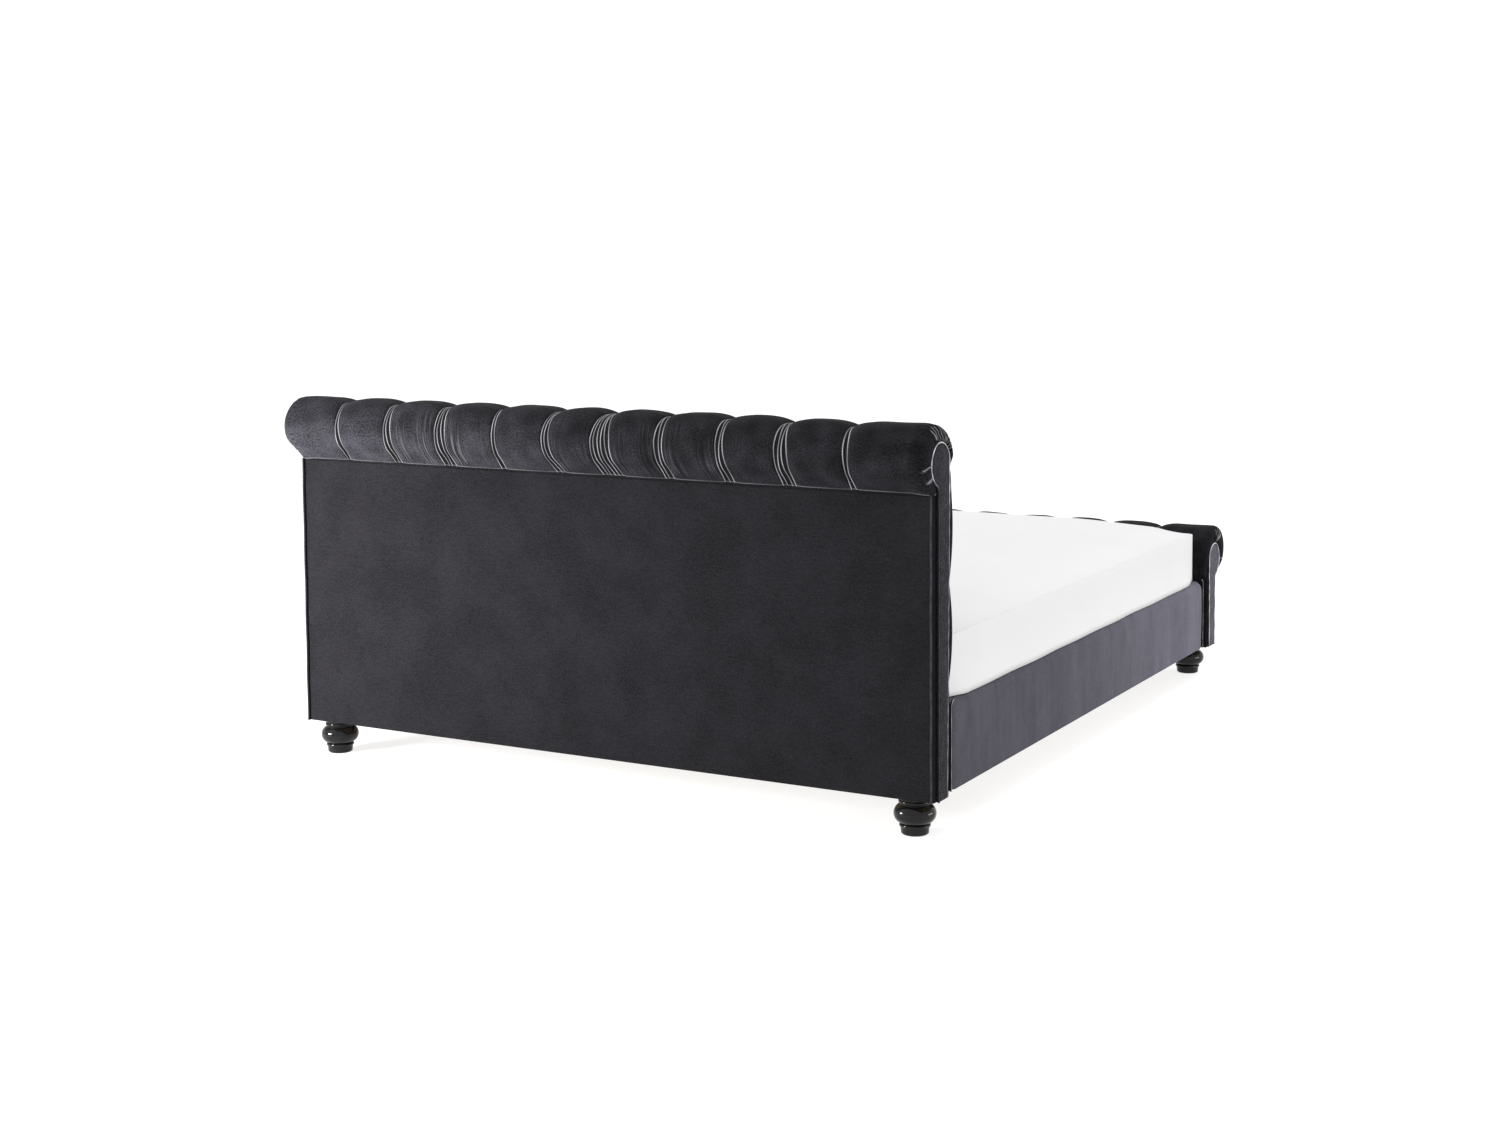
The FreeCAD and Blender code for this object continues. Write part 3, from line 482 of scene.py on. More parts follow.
@dataclass
class Cloth:
    """A cloth surface as a net of places: rows run along the cloth and columns across it."""

    name: str
    places: np.ndarray                      # rows x columns x 3, in metres
    across: np.ndarray | None = None        # the cloth map, rows x columns
    along: np.ndarray | None = None
    marks: dict[str, np.ndarray] = field(default_factory=dict)

    def model(self) -> bpy.types.Object:
        """Lays a grid, pulls it onto the places, closes it and turns its faces outwards.

        Returns:
            The finished mesh object.
        """
        rows, columns, _ = self.places.shape
        drop_selection()
        bpy.ops.mesh.primitive_grid_add(x_subdivisions=columns - 1, y_subdivisions=rows - 1, size=2)
        piece = added(self.name)
        flat = np.empty(len(piece.data.vertices) * 3)
        piece.data.vertices.foreach_get("co", flat)
        flat = flat.reshape(-1, 3)
        column = np.rint((flat[:, 0] + 1) / 2 * (columns - 1)).astype(int)
        row = np.rint((flat[:, 1] + 1) / 2 * (rows - 1)).astype(int)
        piece.data.vertices.foreach_set("co", self.places[row, column].ravel())
        for name, values in self.marks.items():
            mark = piece.data.attributes.new(name, "FLOAT", "POINT")
            mark.data.foreach_set("value", np.clip(values[row, column], 0, 1).astype(np.float32))
        if self.across is not None:
            corners = np.empty(len(piece.data.loops), int)
            piece.data.loops.foreach_get("vertex_index", corners)
            spread = np.stack([self.across[row, column], self.along[row, column]], axis=1)[corners]
            layer = piece.data.uv_layers[0] if piece.data.uv_layers else piece.data.uv_layers.new()
            layer.name = CLOTH_MAP
            layer.data.foreach_set("uv", spread.astype(np.float32).ravel())
        piece.data.update()
        close(piece)
        bpy.ops.object.shade_smooth()
        return piece


def close(piece: bpy.types.Object) -> None:
    """Merges what meets, fills what is open and turns the faces outwards."""
    weld = 0.02 * MM
    take(piece)
    bpy.ops.object.mode_set(mode="EDIT")
    bpy.ops.mesh.select_all(action="SELECT")
    bpy.ops.mesh.remove_doubles(threshold=weld)
    bpy.ops.mesh.select_all(action="SELECT")
    bpy.ops.mesh.fill_holes(sides=0)
    bpy.ops.mesh.select_all(action="SELECT")
    bpy.ops.mesh.normals_make_consistent(inside=False)
    bpy.ops.object.mode_set(mode="OBJECT")


def cord(name: str, path: np.ndarray, radius: float, crest: np.ndarray,
         shine: float | np.ndarray = 1.0) -> bpy.types.Object:
    """A velvet-covered cord along a path, closed at both ends.

    Args:
        name: the piece's name.
        path: points of the centre line, n x 3.
        radius: the cord's radius.
        crest: the direction, or one for each point, of the painted highlight along the cord.
        shine: how bright the painted highlight is, for the whole cord or for each point.

    Returns:
        The finished mesh object.
    """
    sides = 14
    crest_width = 0.36               # radians round the cord
    pucker_depth, pucker_pitch = 0.15 * MM, 11 * MM
    along = np.gradient(path, axis=0)
    along /= np.linalg.norm(along, axis=1, keepdims=True)
    crest = np.broadcast_to(crest, path.shape)
    up = crest - along * np.sum(crest * along, axis=1, keepdims=True)
    up /= np.linalg.norm(up, axis=1, keepdims=True)
    aside = np.cross(along, up)
    turn = np.linspace(-math.pi, math.pi, sides + 1)[None, :]
    length = run_lengths(path)[:, None]
    pucker = pucker_depth * np.sin(length * 2 * math.pi / pucker_pitch + 2 * np.sin(length * 60))
    ring = up[:, None] * np.cos(turn)[:, :, None] + aside[:, None] * np.sin(turn)[:, :, None]
    places = path[:, None] + ring * (radius + pucker)[:, :, None]
    shine = np.broadcast_to(shine, len(path))[:, None]
    # Painted highlight along the crest, wavering along the cord, and painted shade on the side turned away
    # from it.
    highlight_waver = 0.75 + 0.25 * np.sin(length * 130 + 3 * np.sin(length * 23))
    cord_highlight = shine * bump(turn, crest_width) * highlight_waver
    round_it = np.broadcast_to(turn * radius, cord_highlight.shape)
    underside = smooth(1.2, 2.4, np.abs(turn)) * 0.8 + 0 * length
    marks = {PAINTED_HIGHLIGHT: cord_highlight, SHADE: underside, CRUSH: 0 * cord_highlight}
    return Cloth(name, places, round_it, np.broadcast_to(length, cord_highlight.shape), marks).model()


def joined(name: str, pieces: Sequence[bpy.types.Object]) -> bpy.types.Object:
    """Joins several meshes into one piece."""
    take(pieces[0])
    for piece in pieces:
        piece.select_set(True)
    bpy.ops.object.join()
    return added(name)


# ---------------------------------------------------------------- outlines

class Outline:
    """A line through a board's own (y, z) plane, made of straight runs and arcs."""

    def __init__(self, start: tuple[float, float]) -> None:
        """Starts at a point."""
        self.points = [start]

    def line(self, y: float, z: float) -> "Outline":
        """Runs straight to a point."""
        self.points.append((y, z))
        return self

    def arc(self, centre: tuple[float, float], radius: float, first: float, last: float) -> "Outline":
        """Runs round a centre from one angle to another, in degrees."""
        count = max(3, round(abs(last - first) / 2))
        for angle in np.radians(np.linspace(first, last, count)):
            self.points.append((centre[0] + radius * math.cos(angle), centre[1] + radius * math.sin(angle)))
        return self

    def lengths(self) -> np.ndarray:
        """How far along the line each of its points is."""
        return run_lengths(np.array(self.points))

    def at(self, distance: np.ndarray) -> np.ndarray:
        """The points at some distances along the line."""
        known = self.lengths()
        return np.stack([np.interp(distance, known, part) for part in np.array(self.points).T], axis=1)

    def outward(self, distance: np.ndarray) -> np.ndarray:
        """The direction away from the board at some distances, softened over the corners."""
        reach = 4 * MM
        step = self.at(distance + reach) - self.at(distance - reach)
        normal = np.stack([-step[:, 1], step[:, 0]], axis=1)
        return normal / np.maximum(np.linalg.norm(normal, axis=1, keepdims=True), 1e-9)


def tangent_angle(point: tuple[float, float], centre: tuple[float, float], radius: float) -> float:
    """Where, in degrees, a line from a point below touches a circle on its rear side."""
    run, rise = centre[0] - point[0], centre[1] - point[1]
    return math.degrees(math.atan2(rise, run) + math.asin(radius / math.hypot(run, rise))) + 90


# ---------------------------------------------------------------- the boards

@dataclass(frozen=True)
class Pleat:
    """A bundle of folds that runs from a button over the roll to the rear seam."""

    place: float              # where it meets the rear seam, across the bed
    folds: int                # how many folds lie side by side
    swing: float              # how far it bows towards -X on the rear of the roll, in mm
    crush_left: float = 0.0   # how much the pile beside it is crushed, on its -X side
    crush_right: float = 0.0  # and on its +X side


HEAD_PLEATS = (
    Pleat(-0.753, 2, 10), Pleat(-0.580, 4, 9, 0.1, 0.25), Pleat(-0.413, 3, 9, 0.35, 0.8),
    Pleat(-0.240, 3, 9, 0.9, 0.9), Pleat(-0.072, 6, 3, 0.6, 0.3), Pleat(0.085, 3, -5, 0.5, 0.1),
    Pleat(0.268, 2, 18, 0.1, 0.2), Pleat(0.440, 4, 17, 1.0, 0.9), Pleat(0.613, 3, 15, 0.5),
    Pleat(0.784, 2, 18),
)
FOOT_PLEATS = (
    Pleat(-0.766, 2, 8, 0.2), Pleat(-0.588, 3, 12, 0.5), Pleat(-0.420, 4, -6, 0.3, 0.6),
    Pleat(-0.249, 3, 9, 0.3), Pleat(-0.082, 3, 14, 0.6, 0.2), Pleat(0.088, 4, -8, 0.4, 0.4),
    Pleat(0.257, 3, 10, 0.2, 0.6), Pleat(0.426, 2, 16), Pleat(0.595, 3, 6, 0.5),
    Pleat(0.764, 3, 12, 0.2),
)


class Side(Enum):
    """A side of the bed, seen from the foot end."""

    LEFT = -1
    RIGHT = 1


@dataclass
class Board:
    """A headboard or footboard. Its own y runs from its outer face towards the mattress, in metres."""

    name: str
    outer_node: str
    pleats: tuple[Pleat, ...]
    rows: int                      # rows of buttons
    toward: int                    # +1 where the board's own y runs along +Y
    finishes: Finishes
    end_finish: bpy.types.Material
    rear_shine: float              # how bright the end piping's painted highlight is below the roll, at the rear
    front_shine: float             # and at the front
    sag: float                     # how much lower the roll is at its -X end
    corner: float                  # how softly the ends of the cover turn in
    end_swell: float               # how far the wrapped ends stand out beyond the frame
    gather_reach: float            # how far past the roll's top its ends are gathered
    front_radius: float = 0.100
    rear_radius: float = 0.075
    seam_lap: float = 0.0055
    skin_radius: float = 0.058
    head_radius: float = 0.050     # round head of the end panel
    head_drop: float = 0.003       # how far the head's middle is below the frame's
    head_shift: float = 0.0085     # and how far nearer the mattress
    neck_radius: float = 0.026
    panel_rear: float = 0.019      # from the board's outer face to the end panel's rear edge
    panel_lean: float = 1.03       # how far the end panel's front edge leans, in degrees
    foam: float = 0.033
    pitch: float = 0.169           # between two pleats
    row_pitch: float = 0.122       # between two rows of buttons
    row_rise: float = 0.024        # from the seam up to the top row
    well_radius: float = 0.016     # the wells in which the buttons sit
    well_depth: float = 0.026
    fold_pitch: float = 0.011      # between two folds of a pleat
    fold_depth: float = 0.020      # of the diamond folds on the front
    welt_radius: float = 0.003
    edge_welt_radius: float = 0.0035
    seam_gap: float = 0.005        # the shadow line under the rear seam

    def __post_init__(self) -> None:
        """Reads the board's sizes from the frame."""
        panel_low, panel_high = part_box(self.outer_node)
        roll_low, roll_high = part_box(f"{self.name}_roll_padding")
        front_low, front_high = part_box(f"{self.name}_front_padding")
        self.outer = panel_low.y if self.toward > 0 else panel_high.y
        self.half = panel_high.x
        self.seam = panel_high.z
        self.bottom = panel_low.z
        self.panel_thickness = panel_high.y - panel_low.y
        self.top = roll_high.z
        self.inner = (front_high.y - self.outer) if self.toward > 0 else (self.outer - front_low.y)
        reach = (roll_high.y - self.outer) if self.toward > 0 else (self.outer - roll_low.y)
        rear = (self.outer - roll_low.y) if self.toward > 0 else (roll_high.y - self.outer)
        self.front_centre = (reach - self.front_radius, self.top - self.front_radius)
        self.rear_centre = (self.rear_radius - rear, self.top - self.rear_radius)
        self.head_centre = (self.inner - self.foam - self.skin_radius, self.top - self.front_radius)
        self.panel_centre = (self.head_centre[0] + self.head_shift, self.head_centre[1] - self.head_drop)
        self.facing = self.inner - self.foam
        self.top_row = self.seam + self.row_rise
        middle = (len(self.pleats) - 1) / 2
        self.places = [(number - middle) * self.pitch for number in range(len(self.pleats))]
        outline = self.skin()
        self.crest = float(outline.lengths()[np.argmax(np.array(outline.points)[:, 1])])
        self.length = float(outline.lengths()[-1])
        self.row_at = self.length - (self.top_row - self.bottom)

    # ------------------------------------------------------------ outlines

    def world(self, x: np.ndarray, y: np.ndarray, z: np.ndarray) -> np.ndarray:
        """Turns the board's own places into the bed's."""
        return np.stack(np.broadcast_arrays(x, self.outer + self.toward * y, z), axis=-1)

    def skin(self) -> Outline:
        """The cover's outline, from the rear seam over the roll and down the front."""
        start = (-self.seam_lap, self.seam)
        touch = tangent_angle(start, self.rear_centre, self.rear_radius)
        outline = Outline(start).arc(self.rear_centre, self.rear_radius, touch, 90)
        outline.arc(self.front_centre, self.front_radius, 90, 0)
        return outline.line(self.inner, self.seam).line(self.inner, self.bottom)

    def inner_line(self, skin: np.ndarray) -> np.ndarray:
        """Where the foam under each point of the skin meets the frame."""
        y, z = skin[:, 0], skin[:, 1]
        angle = np.arctan2(z - self.head_centre[1], y - self.head_centre[0])
        lowest = math.radians(-91)
        angle = np.where(angle < lowest, angle + 2 * math.pi, angle)
        angle = np.clip(angle, 0, 2 * math.pi + lowest)
        round_y = self.head_centre[0] + self.skin_radius * np.cos(angle)
        round_z = self.head_centre[1] + self.skin_radius * np.sin(angle)
        straight = (z < self.head_centre[1]) & (y > self.head_centre[0])
        return np.stack([np.where(straight, self.facing, round_y), np.where(straight, z, round_z)], axis=1)

    def front_touch(self, radius: float) -> tuple[float, float]:
        """Where the end panel's straight front edge leaves a head of this radius."""
        lean = math.radians(self.panel_lean)
        return self.panel_centre[0] + radius * math.cos(lean), self.panel_centre[1] - radius * math.sin(lean)

    def panel_front(self, z: np.ndarray) -> np.ndarray:
        """y of the end panel's front edge at a height."""
        top_y, top_z = self.front_touch(self.head_radius)
        return top_y - np.maximum(top_z - z, 0) * math.tan(math.radians(self.panel_lean))

    def tuck_line(self, skin: np.ndarray, s: np.ndarray) -> np.ndarray:
        """Where the cover, wrapped round the board's end, goes under the end panel."""
        under, beside_neck, above_seam = 4 * MM, 1.5 * MM, 2 * MM
        neck_from, neck_to = 25 * MM, 75 * MM
        y, z = skin[:, 0], skin[:, 1]
        angle = np.arctan2(z - self.panel_centre[1], y - self.panel_centre[0])
        round_y = self.panel_centre[0] + (self.head_radius - under) * np.cos(angle)
        round_z = self.panel_centre[1] + (self.head_radius - under) * np.sin(angle)
        straight = (z < self.panel_centre[1]) & (y > self.panel_centre[0])
        line_y = np.where(straight, self.panel_front(z) - under, round_y)
        line = np.stack([line_y, np.where(straight, z, round_z)], axis=1)
        neck = (1 - smooth(neck_from, neck_to, s))[:, None]
        neck_y = np.full_like(s, self.panel_rear + beside_neck)
        beside = np.stack([neck_y, self.seam + above_seam + 0.5 * s], axis=1)
        return line * (1 - neck) + beside * neck

    def scroll(self, grow: float) -> Outline:
        """The end panel's outline, grown outwards, from its rear foot over its head to its front foot."""
        radius = self.head_radius + grow
        rear = self.panel_rear - grow
        neck = self.neck_radius - grow
        neck_y = self.panel_rear - self.neck_radius
        reach = self.head_radius + self.neck_radius
        fall = math.sqrt(reach ** 2 - (self.panel_centre[0] - neck_y) ** 2)
        neck_z = self.panel_centre[1] - fall
        touch = math.degrees(math.atan2(fall, self.panel_centre[0] - neck_y))
        outline = Outline((rear, self.bottom)).line(rear, neck_z - 1 * MM)
        outline.arc((neck_y, neck_z), neck, 0, touch)
        outline.arc(self.panel_centre, radius, touch + 180, -self.panel_lean)
        top_y, top_z = self.front_touch(radius)
        foot_y = top_y - (top_z - self.bottom) * math.tan(math.radians(self.panel_lean))
        return outline.line(foot_y, self.bottom)

    # ------------------------------------------------------------ the tufted cover

    def columns(self) -> np.ndarray:
        """Places across the cover, closer together at the pleats."""
        fine, coarse = 1.1 * MM, 7 * MM
        spare, margin = 1.1, 8 * MM
        edge = self.half - self.corner
        places = []
        last = -edge
        for centre, pleat in zip(self.places, self.pleats):
            dense = (pleat.folds - 1) / 2 * self.fold_pitch * spare + margin
            start, end = centre - dense, centre + dense
            places.append(np.linspace(last, start, round((start - last) / coarse), endpoint=False))
            places.append(np.linspace(start, end, round(2 * dense / fine), endpoint=False))
            last = end
        places.append(np.linspace(last, edge, round((edge - last) / coarse)))
        return np.concatenate(places)

    def stations(self) -> np.ndarray:
        """Places along the cover: close together where its ends are gathered, and wider down the front."""
        gathers, front = self.crest - 50 * MM, self.row_at - 20 * MM
        runs = ((0, gathers, 3.2 * MM), (gathers, front, 2.8 * MM), (front, self.length, 7.5 * MM))
        places = [np.linspace(first, last, round((last - first) / step), endpoint=False)
                  for first, last, step in runs]
        return np.concatenate([*places, [self.length]])

    def along_roll(self, s: np.ndarray, *values: float) -> np.ndarray:
        """Draws a line through values at the seam, lower rear, rear, crest, its front and the buttons."""
        lower_rear, past_crest = 0.04, 0.08
        knots = (0, lower_rear, self.crest * 0.55, self.crest, self.crest + past_crest, self.row_at)
        return np.interp(s, knots, values)[:, None]

    def pleated(self, q: np.ndarray, s: np.ndarray) -> tuple[np.ndarray, ...]:
        """The bundles of folds that run over the roll.

        Args:
            q: places across the cover, with the pleats at their buttons' places.
            s: places along the cover.

        Returns:
            How far each place is from the nearest bundle, the folds' round backs, the fine lines along
            them, the width of the bundles, and how much the pile beside them is crushed.
        """
        margin, fold_width, line_width, stray = 2.4 * MM, 2.6 * MM, 1.0 * MM, 1.2 * MM
        crush_at, crush_width = 24 * MM, 0.028
        across, along = q[None, :], s[:, None]
        spacing = self.along_roll(s, 1.12, 1.08, 1.0, 0.42, 0.35, 0.2)
        edge = np.full((len(s), len(q)), 1.0)
        ridge, line, band, crush = (np.zeros_like(edge) for _ in range(4))
        lower = smooth(0.0, 0.03, along) * (1 - smooth(self.crest * 0.62, self.crest * 0.85, along))
        for number, (place, pleat) in enumerate(zip(self.places, self.pleats)):
            offset = across - place
            middle = (pleat.folds - 1) / 2
            half = middle * self.fold_pitch * spacing + margin
            edge = np.minimum(edge, np.abs(offset) - half)
            band = np.maximum(band, 1 - smooth(-0.5 * MM, 2.5 * MM, np.abs(offset) - half))
            for fold in range(pleat.folds):
                shift = (fold - middle) * self.fold_pitch * spacing
                wander = stray * np.sin(along * 30 + fold * 2.4 + number * 1.7)
                strength = 0.72 + 0.28 * np.sin(along * 41 + fold * 1.9 + number)
                ridge = np.maximum(ridge, bump(offset - shift - wander, fold_width) * strength)
                line = np.maximum(line, bump(offset - shift - wander, line_width) * strength)
            left = bump(-offset - half - crush_at, crush_width) * pleat.crush_left
            right = bump(offset - half - crush_at, crush_width) * pleat.crush_right
            crush = np.maximum(crush, np.maximum(left, right) * lower)
        return edge, ridge, line, band, crush

    def relief(self, q: np.ndarray, s: np.ndarray, z: np.ndarray) -> tuple[np.ndarray, dict[str, np.ndarray]]:
        """How far the cover stands from its smooth outline.

        Args:
            q: places across the cover, with the pleats at their buttons' places.
            s: places along the cover.
            z: the height of each place along the cover.

        Returns:
            The height of the relief, and the marks for the finish.
        """
        across, along, level = q[None, :], s[:, None], z[:, None]
        depth = self.along_roll(s, 1.5 * MM, 3.5 * MM, 5 * MM, 14 * MM, 16 * MM, 23 * MM)
        reach = self.along_roll(s, 0.030, 0.034, 0.045, 0.072, 0.075, 0.080)
        ridge_rise = self.along_roll(s, 1 * MM, 2 * MM, 2.6 * MM, 3.4 * MM, 3.4 * MM, 3 * MM)
        edge, ridge, line, band, crush = self.pleated(q, s)
        rise = np.clip(edge / reach, 0, 1)
        puff = 1 - (1 - (1 - rise) ** 2.3) ** 0.62
        height = -depth * puff + ridge_rise * (ridge - 0.5 * band)
        uneven = 1.2 * MM * waves(across, along, 0.11, 3)
        height = height + uneven * smooth(0, 0.25, rise) * smooth(0, 0.03, along)
        height = height - self.sag * smooth(0.35, 0.72, -across) * smooth(0.05, self.crest * 0.8, along)

        tuft, tuft_line = self.diamonds(across, level)
        front = along > self.crest + 20 * MM
        down = smooth(-0.06, 0.10, (self.top_row - z) / self.row_pitch)[:, None] * front
        height = height * (1 - down) + tuft * down
        well = np.zeros_like(edge)
        for button_x, button_z in self.button_places():
            away = np.hypot(across - button_x, level - button_z)
            well = np.maximum(well, bump(away, self.well_radius) * front)
        sunk = np.minimum(height, height * (1 - well) - self.well_depth * well)
        height = np.where(well > 0.02, sunk, height)
        # Painted highlights along the fold lines, weaker towards +X, and along the hem; painted shade between
        # the folds, over the roll, in the wells and along the diamond folds.
        lit = np.interp(q, [-self.half, self.half], [1.0, 0.75])[None, :]
        hem_highlight = self.hem_highlight(along) * (0.3 + 0.12 * np.sin(across * 37))
        painted_roll_shade = self.painted_roll_shade(across, along)
        folded = band * (1 - line) * (1 - down)
        marks = {
            PAINTED_HIGHLIGHT: np.maximum(line * (1 - down) * lit, hem_highlight),
            SHADE: 1 - (1 - folded) * (1 - painted_roll_shade) * (1 - well * 0.6) * (1 - tuft_line * down * 0.6),
            CRUSH: crush * (1 - down) + 0.12 * down,
        }
        return height, marks

    def hem_highlight(self, s: np.ndarray) -> np.ndarray:
        """Painted highlight along the turned edge of the cloth just above the rear seam."""
        middle, width = 2 * MM, 2 * MM
        return bump(s - middle, width)

    def painted_roll_shade(self, across: np.ndarray, along: np.ndarray) -> np.ndarray:
        """Painted shade: how much darker the cover is over the roll's top, and along its -X half."""
        top = 0.68 * smooth(self.crest * 0.1, self.crest * 0.72, along)
        top = top * (1 - 0.7 * smooth(self.row_at - 40 * MM, self.row_at + 60 * MM, along))
        length = np.interp(across, [-self.half, -0.05, 0.12, 0.5, self.half], [0.78, 0.72, 0.45, 0.2, 0.0])
        patches = 0.08 * waves(across, along, 0.09, 5)
        return np.clip(1 - (1 - top) * (1 - length) + patches, 0, 1)

    def button_places(self) -> list[tuple[float, float]]:
        """(x, z) of each button; every other row is shifted by half a pitch."""
        found = []
        for row in range(self.rows):
            count = len(self.pleats) + row % 2
            level = self.top_row - row * self.row_pitch
            found += [((number - (count - 1) / 2) * self.pitch, level) for number in range(count)]
        return found

    def diamonds(self, x: np.ndarray, z: np.ndarray) -> tuple[np.ndarray, np.ndarray]:
        """The deep-buttoned front: puffs between folds that run from button to button.

        Args:
            x: places across the cover.
            z: heights.

        Returns:
            The relief, and a mark along the folds.
        """
        level = np.clip((self.top_row - z) / self.row_pitch, 0, self.rows - 1)
        one = np.abs(np.sin(math.pi * (x / self.pitch - level / 2 + 0.5)))
        two = np.abs(np.sin(math.pi * (x / self.pitch + level / 2 + 0.5)))
        fullness, line_width = 0.45, 0.13
        puff = (one * two) ** fullness
        height = -self.fold_depth * (1 - puff)
        line = np.maximum(bump(one, line_width), bump(two, line_width))
        return height, line

    def lay(self, q: np.ndarray, s: np.ndarray, outer: np.ndarray, normal: np.ndarray,
            height: np.ndarray) -> np.ndarray:
        """Where the cover lies between its two wrapped ends.

        Args:
            q: places across the cover, with the pleats at their buttons' places.
            s: places along the cover.
            outer: the cover's outline.
            normal: the direction away from the board along the outline.
            height: the relief.

        Returns:
            The places, rows x columns x 3.
        """
        seams = [pleat.place - place for pleat, place in zip(self.pleats, self.places)]
        shift = np.interp(q, self.places, seams)
        swing = np.interp(q, self.places, [pleat.swing * MM for pleat in self.pleats])
        middle = 1 - smooth(self.places[-1], self.half - self.corner, np.abs(q))
        pull = (1 - smooth(self.crest - 40 * MM, self.row_at, s))[:, None]
        bow = np.sin(math.pi * np.clip(s / self.crest, 0, 1))[:, None]
        stretch = smooth(self.half - 90 * MM, self.half - self.corner, np.abs(q)) * np.sign(q)
        x = q + (shift * pull - swing * bow) * middle + stretch * self.swell(s, outer[:, 1])[:, None]
        y = outer[:, 0:1] + normal[:, 0:1] * height
        z = outer[:, 1:2] + normal[:, 1:2] * height - self.droop(x, s[:, None])
        return self.world(x, y, z)

    def cover(self) -> bpy.types.Object:
        """The velvet over the roll and the front, closed round the foam, with its ends wrapped."""
        s, q = self.stations(), self.columns()
        skin = self.skin()
        outer, normal = skin.at(s), skin.outward(s)
        height, marks = self.relief(q, s, outer[:, 1])
        left, right = (self.wrapped_end(side, outer, normal, height, s) for side in Side)
        inner = self.inner_line(outer)
        edge = self.half + 0.2 * MM
        inside = [self.world(np.full((len(s), 1), place), inner[:, 0:1], inner[:, 1:2])
                  for place in np.linspace(edge, -edge, 8)]
        laid = self.lay(q, s, outer, normal, height)
        net = [left["net"][:, ::-1], laid, right["net"], *inside, left["net"][:, -1:]]
        hidden = np.zeros((len(s), len(inside) + 1))
        drawn = {name: np.concatenate([left[name][:, ::-1], middle_part, right[name], hidden], axis=1)
                 for name, middle_part in marks.items()}
        end_run = np.linspace(0, 70 * MM, left["net"].shape[1])
        across = np.concatenate([q[0] - end_run[::-1], q, q[-1] + end_run, np.zeros(hidden.shape[1])])
        across = np.broadcast_to(across, hidden.shape[:1] + across.shape)
        along = np.broadcast_to(s[:, None], across.shape)
        name = f"{self.name}_velvet_cover"
        piece = Cloth(name, np.concatenate(net, axis=1), across, along, drawn).model()
        piece.data.materials.append(self.finishes.tufted)
        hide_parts(f"{self.name}_roll_padding", f"{self.name}_front_padding")
        return piece

    def swell(self, s: np.ndarray, z: np.ndarray) -> np.ndarray:
        """How far the wrapped ends stand out: in puffs, drawn in at every other row of buttons."""
        least, most = 3 * MM, self.end_swell
        above_row, below_foot, blend = 28 * MM, 40 * MM, 45 * MM
        drawn_in = [self.top_row - row * self.row_pitch for row in range(2, self.rows, 2)]
        notches = [self.top_row + above_row, *drawn_in, self.bottom - below_foot]
        share = np.interp(-z, [-level for level in notches], range(len(notches)))
        puffs = np.abs(np.sin(math.pi * share)) ** 0.6
        behind_rail = smooth(0.40, 0.28, z) * 0.7
        front = least + (most - least) * puffs * (1 - behind_rail)
        over = np.interp(s, [0, 0.04, 0.1, self.row_at], [1 * MM, 0.5 * most, most, most])
        share_front = smooth(notches[0] + blend, notches[0], z) * (s > self.crest)
        return over * (1 - share_front) + front * share_front

    def droop(self, x: np.ndarray, s: np.ndarray) -> np.ndarray:
        """How far the seam's corners hang down."""
        depth, up_roll, beside_end = 4.5 * MM, 55 * MM, 60 * MM
        near_seam = 1 - smooth(0, up_roll, s)
        return depth * near_seam * smooth(self.half - beside_end, self.half, np.abs(x))

    def gathered(self, side: Side, s: np.ndarray, reach: np.ndarray) -> tuple[np.ndarray, np.ndarray]:
        """Small gathers where the cover is drawn over the end of the roll.

        Args:
            side: which end of the board.
            s: places along the cover.
            reach: how far from the flat of the cover to the tuck each place is, from 0 to 1.

        Returns:
            The gathers, between -1 and 1, and where along the cover they are.
        """
        pitch = 17 * MM
        last = self.crest + self.gather_reach
        over_head = smooth(self.crest - 55 * MM, self.crest - 5 * MM, s)
        over_head = (over_head * (1 - 0.85 * smooth(last - 20 * MM, last, s)))[:, None]
        phase = 2 * math.pi * s / pitch + 2.0 * np.sin(s * 43 + side.value) + 0.8 * np.sin(s * 101)
        return np.sin(phase[:, None] + 1.3 * reach) * over_head * smooth(0.0, 0.2, reach), over_head

    def wrapped_end(self, side: Side, outer: np.ndarray, normal: np.ndarray, height: np.ndarray,
                    s: np.ndarray) -> dict[str, np.ndarray]:
        """The cover where it turns round one end of the board and is gathered under the end panel.

        Args:
            side: which end of the board.
            outer: the cover's outline.
            normal: the direction away from the board along the outline.
            height: the relief of the whole cover.
            s: places along the cover.

        Returns:
            The net of places from the flat of the cover to the tuck, and the marks for the finish.
        """
        gather_rise, crumple_rise, fold_rise = 4 * MM, 3.5 * MM, 3.5 * MM
        tucked_out, least_out = 1.4 * MM, 1.3 * MM  # how far the cloth stands off the board's end
        along = s[:, None]
        edge = height[:, -1:] if side is Side.RIGHT else height[:, :1]
        swell = self.swell(s, outer[:, 1])[:, None]
        turn = np.radians(np.linspace(0, 90, 10))[1:][None, :]
        fall = np.linspace(0, 1, 13)[1:][None, :]
        to_tuck = self.tuck_line(outer, s) - outer
        span = np.linalg.norm(to_tuck, axis=1, keepdims=True)
        inward = to_tuck / np.maximum(span, 1e-6)
        rim = np.minimum(self.corner, span * 0.55)
        depth = np.concatenate([rim * (1 - np.cos(turn)), rim + (span - rim) * fall], axis=1)
        reach = depth / np.maximum(span, 1e-6)
        sunk = smooth(0.35, 1.0, fall)
        flat = swell * (1 - sunk) + tucked_out * sunk
        out = np.concatenate([self.corner * (np.sin(turn) - 1) + swell, flat], axis=1)
        fade = np.concatenate([np.cos(turn), 0 * fall], axis=1)

